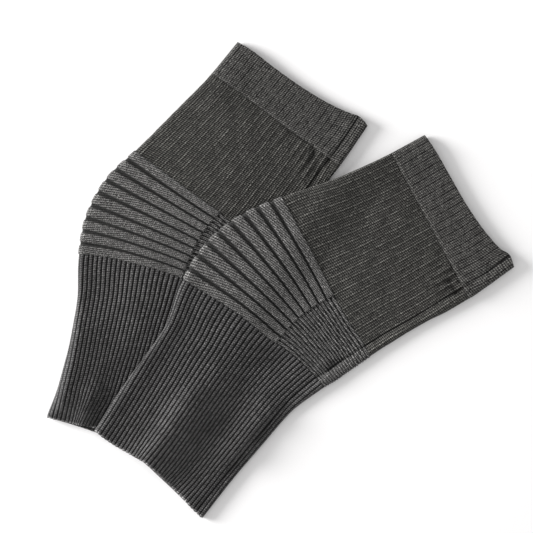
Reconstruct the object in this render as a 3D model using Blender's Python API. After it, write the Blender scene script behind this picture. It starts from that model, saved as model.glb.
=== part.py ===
"""A pair of ribbed knit knee warmers lying flat on a table, the upper one across the lower one.

Each warmer is a flattened tube, knitted in five zones that are five solids here: the doubled band at the
thigh end, the thigh, the ridged panel that wraps round the knee side, the fine-ribbed strip behind the knee,
and the ribbed calf. Metres, +Z up, the table at z = 0, the origin under the middle of the pair.
"""
import math

import bmesh
import bpy
import numpy as np

MM = 0.001

# Driving dimensions, in millimetres.
WALL = 2.2              # one layer of the ribbed knit
BAND_WALL = 3.0         # the band is folded over, so each of its sides is two finer layers
LAYER_GAP = 1.0         # air left inside the flattened tube
SEAM_GAP = 0.3          # between neighbouring pieces
EDGE_ROUND = 1.15       # a folded side edge reaches this many half-thicknesses in from the outline
FOLD_EASE = 0.9         # how far the band's folded rim is rounded off

THIGH_WALE_RISE = 0.45
KNEE_RIDGES = 9         # padded ridges across the knee
RIDGE_RISE = 1.4
RIDGE_FLANK = 0.2       # the part of a ridge's width that each of its flanks takes
GROOVE_AT_EDGE = 0.044  # a groove's width at the knee side, as a part of the panel's length
GROOVE_INSIDE = 0.026   # and where the ridges end
BACK_RIBS = 19          # fine ribs behind the knee
BACK_RIB_RISE = 0.6
CALF_RIB_RISE = 0.8
HEM_SCALLOP = 0.5       # a rib's end stands out this far past its grooves at the raw hem
CHAIN_RISE = 0.5        # the chain of stitches that closes the band
CHAIN_WIDTH = 3.0
CREASE_DEPTH = 0.8      # the long crease beside the back edge of the upper layer

DRAPE_START = 3.0       # the upper warmer starts down to the table this far outside the lower one
DRAPE_RUN = 42.0        # and reaches it over this distance

# Distances down the middle of a warmer, from the band's fold.
BAND_END = 38.8
PANEL_START = 139.2
PANEL_END = 215.9
HEM = 361.3
RIM_FADE = 38.0         # the rim's own curve dies out over this length
HEM_FADE = 45.0         # and so does the hem's

# How each warmer lies: a row for each line across it, from its knee side to its back edge, in mm.
# bend lifts the line towards the band where the ridges end, bow curves the part that they cross.
LINE_COLUMNS = ("along", "knee x", "knee y", "back x", "back y", "bend", "bow")
UPPER_LINES = (
    (0.0, 121.7, 122.2, 197.2, 10.6, 0.0, 0.0),
    (BAND_END, 93.5, 107.1, 159.7, -16.0, 0.0, 0.0),
    (89.0, 48.3, 86.5, 115.6, -40.1, 0.0, 1.0),
    (PANEL_START, 2.4, 70.0, 76.5, -64.6, 0.0, 0.0),
    (163.1, -29.2, 56.5, 59.9, -76.0, 2.9, 1.7),
    (189.7, -60.4, 32.9, 48.2, -84.2, 5.8, 0.9),
    (PANEL_END, -81.4, 0.8, 35.9, -92.6, 8.8, 0.0),
    (249.6, -95.0, -35.7, 10.3, -110.7, 6.5, 0.0),
    (282.8, -113.0, -62.4, -12.4, -136.4, 4.0, 0.0),
    (319.5, -134.1, -91.9, -36.6, -164.6, 1.5, 0.0),
    (HEM, -156.2, -126.7, -65.5, -201.0, 0.0, 0.0),
)
LOWER_LINES = (
    (0.0, -36.3, 200.2, 73.6, 129.3, 0.0, 0.0),
    (BAND_END, -57.6, 174.3, 50.6, 95.8, 0.0, 0.5),
    (89.0, -86.9, 144.2, 20.0, 57.0, 1.5, 0.0),
    (PANEL_START, -122.6, 108.4, -7.5, 19.0, 3.9, -1.5),
    (163.1, -146.1, 86.0, -16.5, 5.5, 5.0, 0.0),
    (189.7, -163.6, 53.7, -25.5, -8.0, 6.1, 1.5),
    (PANEL_END, -169.8, 21.3, -34.1, -21.0, 7.2, 2.5),
    (249.6, -171.0, -15.2, -49.5, -48.0, 5.5, 1.5),
    (282.8, -177.5, -52.3, -63.0, -80.0, 3.5, 0.5),
    (319.5, -187.0, -88.6, -77.0, -114.0, 1.5, 0.0),
    (HEM, -196.9, -115.6, -90.3, -149.2, 0.0, 0.0),
)

# How the two ends curve: how far each rim and hem stands off its straight line, towards the band,
# and how far the upper layer's hem stops short of the under layer's.
RIM_COLUMNS = ("across", "upper", "lower")
RIM_ROWS = (
    (0.0, 0.2, 0.6),
    (0.10, 0.3, 1.0),
    (0.30, -1.6, -1.0),
    (0.55, -3.8, -2.1),
    (0.75, -2.9, -0.8),
    (0.86, -0.6, 1.6),
    (0.92, 2.8, 3.4),
    (0.965, 1.4, 2.2),
    (1.0, 0.2, 0.6),
)
HEM_COLUMNS = ("across", "upper", "lower", "upper setback", "lower setback")
HEM_ROWS = (
    (0.0, 0.0, 0.0, 0.0, 0.0),
    (0.15, 0.8, 0.4, 0.0, 0.0),
    (0.30, 3.4, 0.3, 0.2, 1.6),
    (0.42, 5.3, 0.0, 1.0, 3.8),
    (0.55, 4.4, 0.0, 1.4, 4.0),
    (0.75, 2.6, 0.0, 0.8, 3.0),
    (0.90, 0.7, 0.0, 0.2, 1.2),
    (1.0, 0.0, 0.0, 0.0, 0.0),
)

# Where the ridges end, as a part of the way across, and how far in the crease runs from the back edge.
INNER_COLUMNS = ("along", "split", "crease inset")
INNER_ROWS = (
    (0.0, 0.606, 10.0),
    (BAND_END, 0.606, 11.4),
    (60.0, 0.606, 11.0),
    (89.0, 0.606, 9.4),
    (PANEL_START, 0.606, 10.7),
    (PANEL_END, 0.63, 10.6),
    (237.0, 0.63, 9.5),
    (260.0, 0.63, 8.3),
    (HEM, 0.63, 7.8),
)

# How far the knee panel's two borders bend away from their lines, towards the hem.
PANEL_COLUMNS = ("across", "upper start", "upper end", "lower start", "lower end")
PANEL_ROWS = (
    (0.0, 0.6, 0.0, -0.7, -0.6),
    (0.08, 0.6, 0.0, -1.4, -1.0),
    (0.20, 0.8, -0.6, -1.6, -1.2),
    (0.35, 0.9, -0.8, -1.4, -0.6),
    (0.50, 1.4, 0.9, -0.6, -0.4),
    (0.62, 2.2, 2.5, 0.0, 0.0),
    (0.70, 1.9, 0.0, 0.0, 0.0),
    (0.80, 1.3, -2.0, 0.0, 0.0),
    (0.92, -0.5, -2.9, 0.0, 0.0),
    (1.0, 0.0, -2.6, 0.0, 0.0),
)
PANEL_FADE = 16.0       # the bend dies out over this length

# The fine ribs fan out: how far the middle ones lean towards the band, as a part of the panel's length.
FAN_COLUMNS = ("across", "fan")
FAN_ROWS = (
    (0.60, 0.0),
    (0.64, 0.022),
    (0.70, 0.045),
    (0.80, 0.067),
    (0.86, 0.085),
    (1.0, 0.085),
)

# Where the knit's lines run down each warmer, as parts of the way across: every eighth raised wale of the
# thigh and every fourth groove of the calf, counted from the knee side.
WALE_COLUMNS = ("along", 0, 8, 16)
UPPER_WALES = (
    (BAND_END, 0.098, 0.465, 0.817),
    (62.0, 0.102, 0.467, 0.824),
    (78.0, 0.102, 0.469, 0.834),
    (110.0, 0.0965, 0.470, 0.833),
    (PANEL_START, 0.093, 0.466, 0.834),
)
LOWER_WALES = (
    (BAND_END, 0.086, 0.448, 0.800),
    (62.0, 0.091, 0.453, 0.815),
    (78.0, 0.091, 0.458, 0.821),
    (110.0, 0.088, 0.461, 0.828),
    (PANEL_START, 0.082, 0.458, 0.830),
)
FIRST_WALE, LAST_WALE = -1, 18
RIB_COLUMNS = ("along", 0, 4, 8, 12, 16, 20, 24, 28, 32)
UPPER_RIBS = (
    (PANEL_END, 0.046, 0.1570, 0.2721, 0.3929, 0.5107, 0.6219, 0.725, 0.8288, 0.9236),
    (240.0, 0.0393, 0.1505, 0.2683, 0.3884, 0.507, 0.6219, 0.7272, 0.828, 0.9303),
    (260.0, 0.0393, 0.1512, 0.2698, 0.3936, 0.51, 0.6212, 0.725, 0.8288, 0.9350),
    (280.0, 0.0556, 0.1698, 0.2861, 0.401, 0.5152, 0.6205, 0.725, 0.8273, 0.9330),
    (300.0, 0.0697, 0.1868, 0.301, 0.4122, 0.5234, 0.6271, 0.7287, 0.8317, 0.9355),
    (320.0, 0.0867, 0.2016, 0.3136, 0.4196, 0.533, 0.636, 0.7302, 0.8317, 0.9350),
    (340.0, 0.0904, 0.2061, 0.315, 0.4136, 0.5315, 0.6338, 0.7235, 0.828, 0.9348),
    (HEM, 0.0867, 0.2068, 0.315, 0.400, 0.522, 0.618, 0.704, 0.815, 0.9355),
)
LOWER_RIBS = (
    (PANEL_END, 0.0369, 0.1401, 0.2549, 0.3723, 0.4901, 0.61, 0.72, 0.825, 0.925),
    (240.0, 0.0322, 0.1463, 0.2624, 0.3781, 0.4968, 0.615, 0.725, 0.828, 0.930),
    (260.0, 0.0300, 0.1446, 0.2638, 0.3825, 0.4981, 0.615, 0.725, 0.828, 0.933),
    (280.0, 0.0321, 0.153, 0.2678, 0.3852, 0.5021, 0.615, 0.725, 0.828, 0.933),
    (300.0, 0.0427, 0.1632, 0.2753, 0.3843, 0.505, 0.62, 0.728, 0.830, 0.934),
    (320.0, 0.0538, 0.1703, 0.274, 0.3856, 0.505, 0.62, 0.728, 0.830, 0.934),
    (340.0, 0.0689, 0.1841, 0.2640, 0.3650, 0.500, 0.62, 0.725, 0.828, 0.934),
    (HEM, 0.0790, 0.1970, 0.2580, 0.3518, 0.490, 0.61, 0.720, 0.825, 0.934),
)
LAST_GROOVE = 33
ROLLED_RIBS = 2         # ribs that roll over the knee edge towards the hem, before the first groove
RIB_PITCH = 3.4         # a rib narrower than this is lower too

EDGE_TURNS = (-45.0, 0.0, 45.0)     # points round a folded side edge, underside first
EDGE_PACE = 0.01                    # what the way round a section counts for half a folded edge
BAND_ROWS = (0.0, FOLD_EASE, 12.0, 24.0)                # sections down the band, to its chain
BAND_TOPS = (0.88, 0.905, 0.925, 0.945, 1.0)            # points that the crease needs on the band
BACK_TOPS = (0.0, 0.18, 0.35, 0.52, 0.70, 0.86, 0.93, 1.0)  # points across the fine ribs
BACK_CREASE = 5                                             # the one that the crease runs through
BACK_STEPS = 4                      # points across their underside and inside
PLAIN_STEPS = 14                    # points across a plain underside or inside
OUTLINE_STEPS = 48
SMOOTH_ANGLE = 50.0

# A knit finish for each kind of piece: its sRGB colour and its roughness.
FINISHES = {
    "band": ((0.27, 0.265, 0.26), 0.92),
    "thigh": ((0.265, 0.26, 0.25), 0.92),
    "knee_ridges": ((0.37, 0.365, 0.36), 0.94),
    "knee_back": ((0.30, 0.295, 0.29), 0.93),
    "calf": ((0.26, 0.255, 0.255), 0.93),
}


# Reading the tables

def read(columns, rows, name, place):
    """A table's named column at each place, on a smooth curve through its rows."""
    data = np.array(rows)
    knots, values = data[:, 0], data[:, columns.index(name)]
    slopes = np.gradient(values, knots)
    place = np.clip(np.asarray(place, dtype=float), knots[0], knots[-1])
    i = np.clip(np.searchsorted(knots, place, side="right") - 1, 0, len(knots) - 2)
    span = knots[i + 1] - knots[i]
    t = (place - knots[i]) / span
    rise = values[i + 1] - values[i]
    cubic = t * t * (3 - 2 * t) * rise
    tangents = t * (1 - t) * span * ((1 - t) * slopes[i] - t * slopes[i + 1])
    return values[i] + cubic + tangents


def ease(value):
    """A soft step from 0 to 1."""
    value = np.clip(value, 0.0, 1.0)
    return value * value * (3.0 - 2.0 * value)


def rounded_tent(across, peak, corner=0.12):
    """Rises to 1 at the peak and falls again, with its corner rounded."""
    rise, fall = across / peak, (1.0 - across) / (1.0 - peak)
    blend = np.maximum(corner - np.abs(rise - fall), 0.0) / corner
    return np.minimum(rise, fall) - blend * blend * corner / 4.0


def spread(start, end, count):
    return [start + (end - start) * i / count for i in range(count + 1)]


# Where the cloth lies

class Lie:
    """How one warmer lies: its lines across and down it, and the ground that carries it."""

    def __init__(self, name, lines, wales, ribs, ground):
        self.name = name
        self.lines = lines
        self.wales = wales
        self.ribs = ribs
        self.ground = ground

    def line(self, name, along):
        return read(LINE_COLUMNS, self.lines, name, along)

    def width(self, along):
        run_x = self.line("back x", along) - self.line("knee x", along)
        run_y = self.line("back y", along) - self.line("knee y", along)
        return float(np.hypot(run_x, run_y))

    def plan(self, along, across, shift=0.0):
        """Points a part of the way across their lines, moved by shift towards the band."""
        along, across = np.broadcast_arrays(np.asarray(along, float), np.asarray(across, float))
        knee_x, knee_y = self.line("knee x", along), self.line("knee y", along)
        run_x, run_y = self.line("back x", along) - knee_x, self.line("back y", along) - knee_y
        length = np.hypot(run_x, run_y)
        split = read(INNER_COLUMNS, INNER_ROWS, "split", along)
        part = np.clip(across / split, 0.0, 1.0)
        rise = self.line("bend", along) * rounded_tent(across, split)
        rise = rise + self.line("bow", along) * 4.0 * part * (1.0 - part)
        near_rim = np.clip(1.0 - along / RIM_FADE, 0.0, 1.0) ** 1.5
        near_hem = np.clip(1.0 - (HEM - along) / HEM_FADE, 0.0, 1.0) ** 1.5
        rise = rise + near_rim * read(RIM_COLUMNS, RIM_ROWS, self.name, across)
        rise = rise + near_hem * read(HEM_COLUMNS, HEM_ROWS, self.name, across) + shift
        for border, end in ((PANEL_START, "start"), (PANEL_END, "end")):
            near_border = np.exp(-((along - border) / PANEL_FADE) ** 2)
            rise = rise - near_border * read(PANEL_COLUMNS, PANEL_ROWS, f"{self.name} {end}", across)
        x = knee_x + run_x * across - run_y / length * rise
        y = knee_y + run_y * across + run_x / length * rise
        return x, y

    def points(self, along, across, height, shift=0.0):
        x, y = self.plan(along, across, shift)
        return np.stack([x, y, self.ground(x, y) + height], axis=-1) * MM

    def outline(self):
        """The flat outline: down the knee side, then back up the other side."""
        steps = np.array(spread(0.0, HEM, OUTLINE_STEPS))
        sides = [self.plan(steps, 0.0), self.plan(steps[::-1], 1.0)]
        return np.concatenate([np.stack(side, axis=-1) for side in sides])


def table(x, y):
    return np.zeros_like(x)


def over(lie, height):
    """The ground that another warmer makes: its top inside its outline, and a soft fall outside."""
    starts = lie.outline()
    runs = np.roll(starts, -1, axis=0) - starts
    squares = (runs ** 2).sum(axis=1)

    def ground(x, y):
        from_start = np.stack([x, y], axis=-1)[..., None, :] - starts
        part = np.clip((from_start * runs).sum(axis=-1) / squares, 0.0, 1.0)
        away = from_start - runs * part[..., None]
        distance = np.sqrt((away ** 2).sum(axis=-1).min(axis=-1))
        above, below = from_start[..., 1] >= 0, from_start[..., 1] < runs[:, 1]
        crosses = above == below
        slope = np.where(crosses, runs[:, 0] / np.where(runs[:, 1] == 0, 1.0, runs[:, 1]), 0.0)
        to_right = crosses & (from_start[..., 0] < from_start[..., 1] * slope)
        inside = to_right.sum(axis=-1) % 2 == 1
        outside = np.where(inside, 0.0, distance)
        return height * (1.0 - ease((outside - DRAPE_START) / DRAPE_RUN))

    return ground


# Sections through the flattened tube

def thickness(wall):
    return 2 * wall + LAYER_GAP


def span(lie, along, part, edge):
    """The ends of a section's flat stretch, as parts of the way across: edge is a side edge's reach."""
    inset = edge / lie.width(along)
    split = float(read(INNER_COLUMNS, INNER_ROWS, "split", along))
    return {"tube": (inset, 1 - inset), "knee": (inset, split), "back": (split, 1 - inset)}[part]


def join_path(part, upper, knee_edge, back_edge, under):
    """One side of a section as (turn, across, height), from the knee side over the top.

    turn runs 0 at the knee side, 1 at the back edge and 2 at the knee side again.
    """
    if part == "knee":
        return [(turn - 2, across, height) for turn, across, height in under] + knee_edge + upper
    if part == "back":
        return upper + back_edge + under
    return knee_edge + upper + back_edge + under


def outer_path(lie, along, wall, part, tops, rises, unders, puff=0.0):
    """The outer side: its upper points stand rises above the plain height, puff swells its side edge."""
    width, half = lie.width(along), thickness(wall) / 2
    low, high = span(lie, along, part, half * EDGE_ROUND)

    def folded_edge():
        points = []
        for degrees in EDGE_TURNS:
            turn = math.radians(degrees)
            swell = puff * (1.0 if degrees >= 0 else 0.5)
            inset = half * EDGE_ROUND * (1 - math.cos(turn)) - swell * math.cos(turn)
            pace = EDGE_PACE * degrees / EDGE_TURNS[-1]
            points.append((pace, inset / width, half + (half + swell) * math.sin(turn)))
        return points

    upper = [(low + (high - low) * t, rise) for t, rise in zip(tops, rises)]
    upper = [(across, across, 2 * half + rise) for across, rise in upper]
    under = [low + (high - low) * t for t in reversed(unders)]
    under = [(2 - across, across, 0.0) for across in under]
    knee_edge = folded_edge()
    back_edge = [(1 - turn, 1 - inset, height) for turn, inset, height in reversed(knee_edge)]
    return join_path(part, upper, knee_edge, back_edge, under)


def inner_path(lie, along, wall, part, steps):
    """The plain inner side of the same section."""
    low, high = span(lie, along, part, wall + LAYER_GAP)
    places = spread(low, high, steps)
    upper = [(across, across, wall + LAYER_GAP) for across in places]
    under = [(2 - across, across, wall) for across in reversed(places)]
    inset = wall / lie.width(along)
    middle = wall + LAYER_GAP / 2
    return join_path(part, upper, [(0.0, inset, middle)], [(1.0, 1 - inset, middle)], under)


def knit_lines(lie, along, columns, rows, counts):
    """Where lines of the knit cross a section, as parts of its flat upper stretch."""
    known = np.array(columns[1:], dtype=float)
    places = np.array([float(read(columns, rows, count, along)) for count in columns[1:]])
    first, last = [(places[k + 1] - places[k]) / (known[k + 1] - known[k]) for k in (0, -2)]
    counts = np.asarray(counts, dtype=float)
    inside = read(("count", "place"), list(zip(known, places)), "place", counts)
    outside = first * np.minimum(counts - known[0], 0.0) + last * np.maximum(counts - known[-1], 0.0)
    low, high = span(lie, along, "tube", thickness(WALL) / 2 * EDGE_ROUND)
    return list((inside + outside - low) / (high - low))


def with_crease(lie, along, tops, rises, every=1):
    """The rises with the crease's drop at the upper point nearest to it, on every so many points."""
    place = 1 - float(read(INNER_COLUMNS, INNER_ROWS, "crease inset", along)) / lie.width(along)
    choices = range(0, len(tops), every)
    nearest = min(choices, key=lambda k: abs(tops[k] - place))
    return [rise - CREASE_DEPTH if k == nearest else rise for k, rise in enumerate(rises)]


def seam_shift(index, last, free_start=False, free_end=False):
    """Half a seam gap, away from the neighbour, at each sewn end of a piece."""
    if index == 0 and not free_start:
        return -SEAM_GAP / 2
    if index == last and not free_end:
        return SEAM_GAP / 2
    return 0.0


class Section:
    """A section's two paths laid on the cloth."""

    def __init__(self, lie, outer, inner, along, outer_shift=0.0, inner_shift=0.0):
        self.turns, self.points = {}, {}
        for side, path, shift in (("outer", outer, outer_shift), ("inner", inner, inner_shift)):
            turn, across, height = np.array(path).T
            distance = along(across) if callable(along) else along
            self.turns[side] = turn
            self.points[side] = lie.points(distance, across, height, shift)


# Solids from sections

def rim_triangles(turns, closed):
    """Triangles across a cut rim, between two paths of unlike counts, as (side, index) corners."""
    counts = {side: len(turns[side]) for side in turns}
    last = {side: counts[side] if closed else counts[side] - 1 for side in turns}
    at = {"outer": 0, "inner": 0}

    def next_turn(side):
        if at[side] >= last[side]:
            return math.inf
        following = at[side] + 1
        return turns[side][following % counts[side]] + (2.0 if following >= counts[side] else 0.0)

    faces = []
    while at["outer"] < last["outer"] or at["inner"] < last["inner"]:
        side = "outer" if next_turn("outer") <= next_turn("inner") else "inner"
        faces.append((("outer", at["outer"]), (side, at[side] + 1), ("inner", at["inner"])))
        at[side] += 1
    return faces


def loft(lie, name, sections, closed):
    """One piece of knit: a closed solid through its sections, from the band's side to the hem's."""
    build = bmesh.new()
    rows = {side: [[build.verts.new(p) for p in section.points[side]] for section in sections]
            for side in ("outer", "inner")}
    for side in rows:
        count = len(rows[side][0])
        for near, far in zip(rows[side], rows[side][1:]):
            for k in range(count if closed else count - 1):
                after = (k + 1) % count
                build.faces.new((near[k], near[after], far[after], far[k]))
    if not closed:
        for k in (0, -1):
            edge = [(outer[k], inner[k]) for outer, inner in zip(rows["outer"], rows["inner"])]
            for near, far in zip(edge, edge[1:]):
                build.faces.new((near[0], far[0], far[1], near[1]))
    for s in (0, -1):
        for face in rim_triangles(sections[s].turns, closed):
            corners = [rows[side][s][k % len(rows[side][s])] for side, k in face]
            build.faces.new(corners)
    bmesh.ops.recalc_face_normals(build, faces=build.faces)
    mesh = bpy.data.meshes.new(f"{lie.name}_{name}")
    build.to_mesh(mesh)
    build.free()
    mesh.shade_smooth()
    mesh.set_sharp_from_angle(angle=math.radians(SMOOTH_ANGLE))
    mesh.materials.append(knit_material(name))
    piece = bpy.data.objects.new(mesh.name, mesh)
    bpy.data.collections["knee_warmers"].objects.link(piece)
    return piece


def knit_material(name):
    """The plain finish of one kind of piece, made once."""
    key = f"knit_{name}"
    if key in bpy.data.materials:
        return bpy.data.materials[key]
    colour, roughness = FINISHES[name]
    finish = bpy.data.materials.new(key)
    finish.use_nodes = True
    shader = finish.node_tree.nodes["Principled BSDF"]
    linear = [((c + 0.055) / 1.055) ** 2.4 for c in colour]
    shader.inputs["Base Color"].default_value = (*linear, 1.0)
    shader.inputs["Roughness"].default_value = roughness
    shader.inputs["Metallic"].default_value = 0.0
    return finish


# The pieces

def make_band(lie):
    """The doubled band: a folded rim, smooth sides, and the raised chain of stitches at its seam."""
    tops = spread(0.0, BAND_TOPS[0], PLAIN_STEPS) + list(BAND_TOPS[1:])
    unders = spread(0.0, 1.0, PLAIN_STEPS)
    chain_start, chain_middle = BAND_END - CHAIN_WIDTH, BAND_END - CHAIN_WIDTH / 2
    chain = [(chain_start, 0.0), (chain_middle, CHAIN_RISE), (BAND_END, CHAIN_RISE / 2)]
    stations = [(row, 0.0) for row in BAND_ROWS] + chain
    half = thickness(BAND_WALL) / 2
    sections = []
    for i, (along, raised) in enumerate(stations):
        rises = with_crease(lie, along, tops, [raised] * len(tops))
        outer = outer_path(lie, along, BAND_WALL, "tube", tops, rises, unders)
        inner = inner_path(lie, along, BAND_WALL, "tube", PLAIN_STEPS)
        if i == 0:
            keep = 1 - FOLD_EASE / half
            outer = [(turn, across, half + (height - half) * keep) for turn, across, height in outer]
        shift = seam_shift(i, len(stations) - 1, free_start=True)
        sections.append(Section(lie, outer, inner, along, shift, shift))
    return loft(lie, "band", sections, closed=True)


def make_thigh(lie):
    """The thigh: a tube with raised wales along it, each beside a flat pair."""
    thirds = (LAST_WALE - FIRST_WALE) * 3
    counts = [FIRST_WALE + k / 3 for k in range(thirds + 2)]
    stations = spread(BAND_END, PANEL_START, 6)
    sections = []
    for i, along in enumerate(stations):
        tops = [0.0, *knit_lines(lie, along, WALE_COLUMNS, lie.wales, counts), 1.0]
        rises = [0.0, *[THIGH_WALE_RISE if k % 3 == 0 else 0.0 for k in range(len(counts))], 0.0]
        rises = with_crease(lie, along, tops, rises)
        outer = outer_path(lie, along, WALL, "tube", tops, rises, spread(0.0, 1.0, PLAIN_STEPS))
        inner = inner_path(lie, along, WALL, "tube", PLAIN_STEPS)
        shift = seam_shift(i, len(stations) - 1)
        sections.append(Section(lie, outer, inner, along, shift, shift))
    return loft(lie, "thigh", sections, closed=True)


def down_panel(part):
    """The distance along the warmer, part of the way down the knee panel."""
    return PANEL_START + (PANEL_END - PANEL_START) * part


def off_the_split(path, width, side):
    """Moves a path's two ends half a seam gap off the line where the ridges end."""
    step = side * SEAM_GAP / 2 / width
    ends = {0, len(path) - 1}
    return [(t, a + step if k in ends else a, h) for k, (t, a, h) in enumerate(path)]


def make_knee_ridges(lie):
    """Padded ridges that wrap round the knee side, with grooves that narrow inwards."""
    profile = ((0.0, 0.0), (RIDGE_FLANK, 1.0), (1.0 - RIDGE_FLANK, 1.0), (1.0, 0.0))
    stations = [(ridge, part, level) for ridge in range(KNEE_RIDGES) for part, level in profile]
    tops, unders = spread(0.0, 1.0, 5), spread(0.0, 1.0, 4)
    split = float(read(INNER_COLUMNS, INNER_ROWS, "split", down_panel(0.5)))
    sections = []
    for i, (ridge, part, level) in enumerate(stations):
        def along_at(across):
            inwards = np.clip(across / split, 0.0, 1.0)
            groove = GROOVE_AT_EDGE + (GROOVE_INSIDE - GROOVE_AT_EDGE) * inwards
            width = (1 - groove * (KNEE_RIDGES - 1)) / KNEE_RIDGES
            return down_panel((width + groove) * ridge + width * part)

        middle = float(along_at(split / 2))
        raised = RIDGE_RISE * level
        outer = outer_path(lie, middle, WALL, "knee", tops, [raised] * len(tops), unders, puff=raised)
        inner = inner_path(lie, middle, WALL, "knee", 4)
        outer, inner = [off_the_split(path, lie.width(middle), -1) for path in (outer, inner)]
        shift = seam_shift(i, len(stations) - 1)
        sections.append(Section(lie, outer, inner, along_at, shift, shift))
    return loft(lie, "knee_ridges", sections, closed=False)


def make_knee_back(lie):
    """Fine ribs that carry the ridges on round the back edge, and fan out towards it."""
    steps = BACK_RIBS * 2
    sections = []
    for i, part in enumerate(spread(0.0, 1.0, steps)):
        def along_at(across):
            fan = read(FAN_COLUMNS, FAN_ROWS, "fan", across)
            return down_panel(part - fan * math.sin(math.pi * part) ** 2)

        along = down_panel(part)
        raised = BACK_RIB_RISE * (i % 2)
        rises = [raised] * len(BACK_TOPS)
        rises[BACK_CREASE] -= CREASE_DEPTH
        unders = spread(0.0, 1.0, BACK_STEPS)
        outer = outer_path(lie, along, WALL, "back", BACK_TOPS, rises, unders, puff=raised / 2)
        inner = inner_path(lie, along, WALL, "back", BACK_STEPS)
        outer, inner = [off_the_split(path, lie.width(along), 1) for path in (outer, inner)]
        shift = seam_shift(i, steps)
        sections.append(Section(lie, outer, inner, along_at, shift, shift))
    return loft(lie, "knee_back", sections, closed=False)


def hem_shift(lie, path, scalloped):
    """At the raw hem the upper layer stops short of the under one, and the ribs' ends stand out."""
    shifts = []
    for k, (turn, across, _) in enumerate(path):
        upper = 0.0 < turn < 1.0
        setback = float(read(HEM_COLUMNS, HEM_ROWS, f"{lie.name} setback", across)) if upper else 0.0
        on_rib = scalloped and upper and (k - len(EDGE_TURNS)) % 2 == 1
        shifts.append(setback - (HEM_SCALLOP if on_rib else 0.0))
    return np.array(shifts)


def make_calf(lie):
    """The calf: one-and-one ribs from the knee panel to the raw hem."""
    counts = spread(0.0, LAST_GROOVE, LAST_GROOVE * 2)
    stations = spread(PANEL_END, HEM, 8)
    sections = []
    for i, along in enumerate(stations):
        lines = knit_lines(lie, along, RIB_COLUMNS, lie.ribs, counts)
        rolled = spread(0.0, lines[0], ROLLED_RIBS * 2)[:-1]
        tops = [*rolled, *lines, (lines[-1] + 1) / 2, 1.0]
        widths = np.gradient(np.array(tops)) * 2 * lie.width(along)
        heights = CALF_RIB_RISE * np.clip(widths / RIB_PITCH, 0.0, 1.0)
        rises = [float(heights[k]) * (k % 2) for k in range(len(tops))]
        rises = with_crease(lie, along, tops, rises, every=2)
        outer = outer_path(lie, along, WALL, "tube", tops, rises, spread(0.0, 1.0, PLAIN_STEPS))
        inner = inner_path(lie, along, WALL, "tube", PLAIN_STEPS)
        if along == stations[-1]:
            shifts = hem_shift(lie, outer, True), hem_shift(lie, inner, False)
        else:
            shifts = (seam_shift(i, len(stations) - 1),) * 2
        sections.append(Section(lie, outer, inner, along, *shifts))
    return loft(lie, "calf", sections, closed=True)


def make_warmer(lie):
    make_band(lie)
    make_thigh(lie)
    make_knee_ridges(lie)
    make_knee_back(lie)
    make_calf(lie)


for old in list(bpy.data.objects):
    bpy.data.objects.remove(old, do_unlink=True)
bpy.context.scene.collection.children.link(bpy.data.collections.new("knee_warmers"))
lower = Lie("lower", LOWER_LINES, LOWER_WALES, LOWER_RIBS, table)
upper_ground = over(lower, thickness(WALL) + RIDGE_RISE + SEAM_GAP)
upper = Lie("upper", UPPER_LINES, UPPER_WALES, UPPER_RIBS, upper_ground)
make_warmer(lower)
make_warmer(upper)
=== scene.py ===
# %% [markdown]
# # A pair of ribbed knit knee warmers
#
# Two knitted tubes lie flat on a white table, one across the other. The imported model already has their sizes
# and their places. This lesson dresses it: it lays a much finer knit on the same form, from the padded ridges
# down to the stitches, and lights it as a product photo is lit.

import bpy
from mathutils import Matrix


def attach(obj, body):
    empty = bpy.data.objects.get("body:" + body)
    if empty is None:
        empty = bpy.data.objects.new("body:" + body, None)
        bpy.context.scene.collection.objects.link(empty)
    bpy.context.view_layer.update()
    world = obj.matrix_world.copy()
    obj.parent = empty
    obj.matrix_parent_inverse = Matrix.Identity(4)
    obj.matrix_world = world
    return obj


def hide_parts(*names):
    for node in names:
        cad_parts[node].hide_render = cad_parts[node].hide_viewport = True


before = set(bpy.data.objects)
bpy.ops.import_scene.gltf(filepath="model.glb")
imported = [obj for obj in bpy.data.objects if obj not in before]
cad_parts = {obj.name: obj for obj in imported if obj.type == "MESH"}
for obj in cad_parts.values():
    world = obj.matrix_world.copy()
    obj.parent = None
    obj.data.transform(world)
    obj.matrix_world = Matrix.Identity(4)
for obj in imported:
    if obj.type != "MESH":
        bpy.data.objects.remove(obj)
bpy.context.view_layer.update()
print("nodes to dress:", sorted(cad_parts))

# %% [markdown]
# ## The tools
# Blender's own modules and numpy are enough. Plain loops would do too, but numpy works out thousands of
# points at once, which keeps a fine knit quick to make. The lesson thinks in millimetres and turns them to
# metres when it makes a mesh.

# %% Modules and unit
import math

import bpy
import numpy as np

MM = 0.001
print("Blender", bpy.app.version_string, "and numpy", np.__version__)

# %% [markdown]
# ## The camera
# The photo looks straight down. An orthographic camera would come close, but a real lens sees a little of
# the folds' sides. One far above keeps both ends of each tube at nearly the same scale, as a table-top photo
# does. The photo is 533 pixels wide, and a warmer that is 360 mm long covers 427 of them, so one pixel is
# 0.843 mm of cloth.

# %% Camera
PHOTO_SIDE = 533
MM_PER_PIXEL = 0.843
ORIGIN_PIXEL = (280.1, 280.0)       # where the model's origin falls in the photo
CAMERA_HEIGHT = 2500.0
CLOTH_LEVEL = 4.0                   # the height whose scale is right

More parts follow.
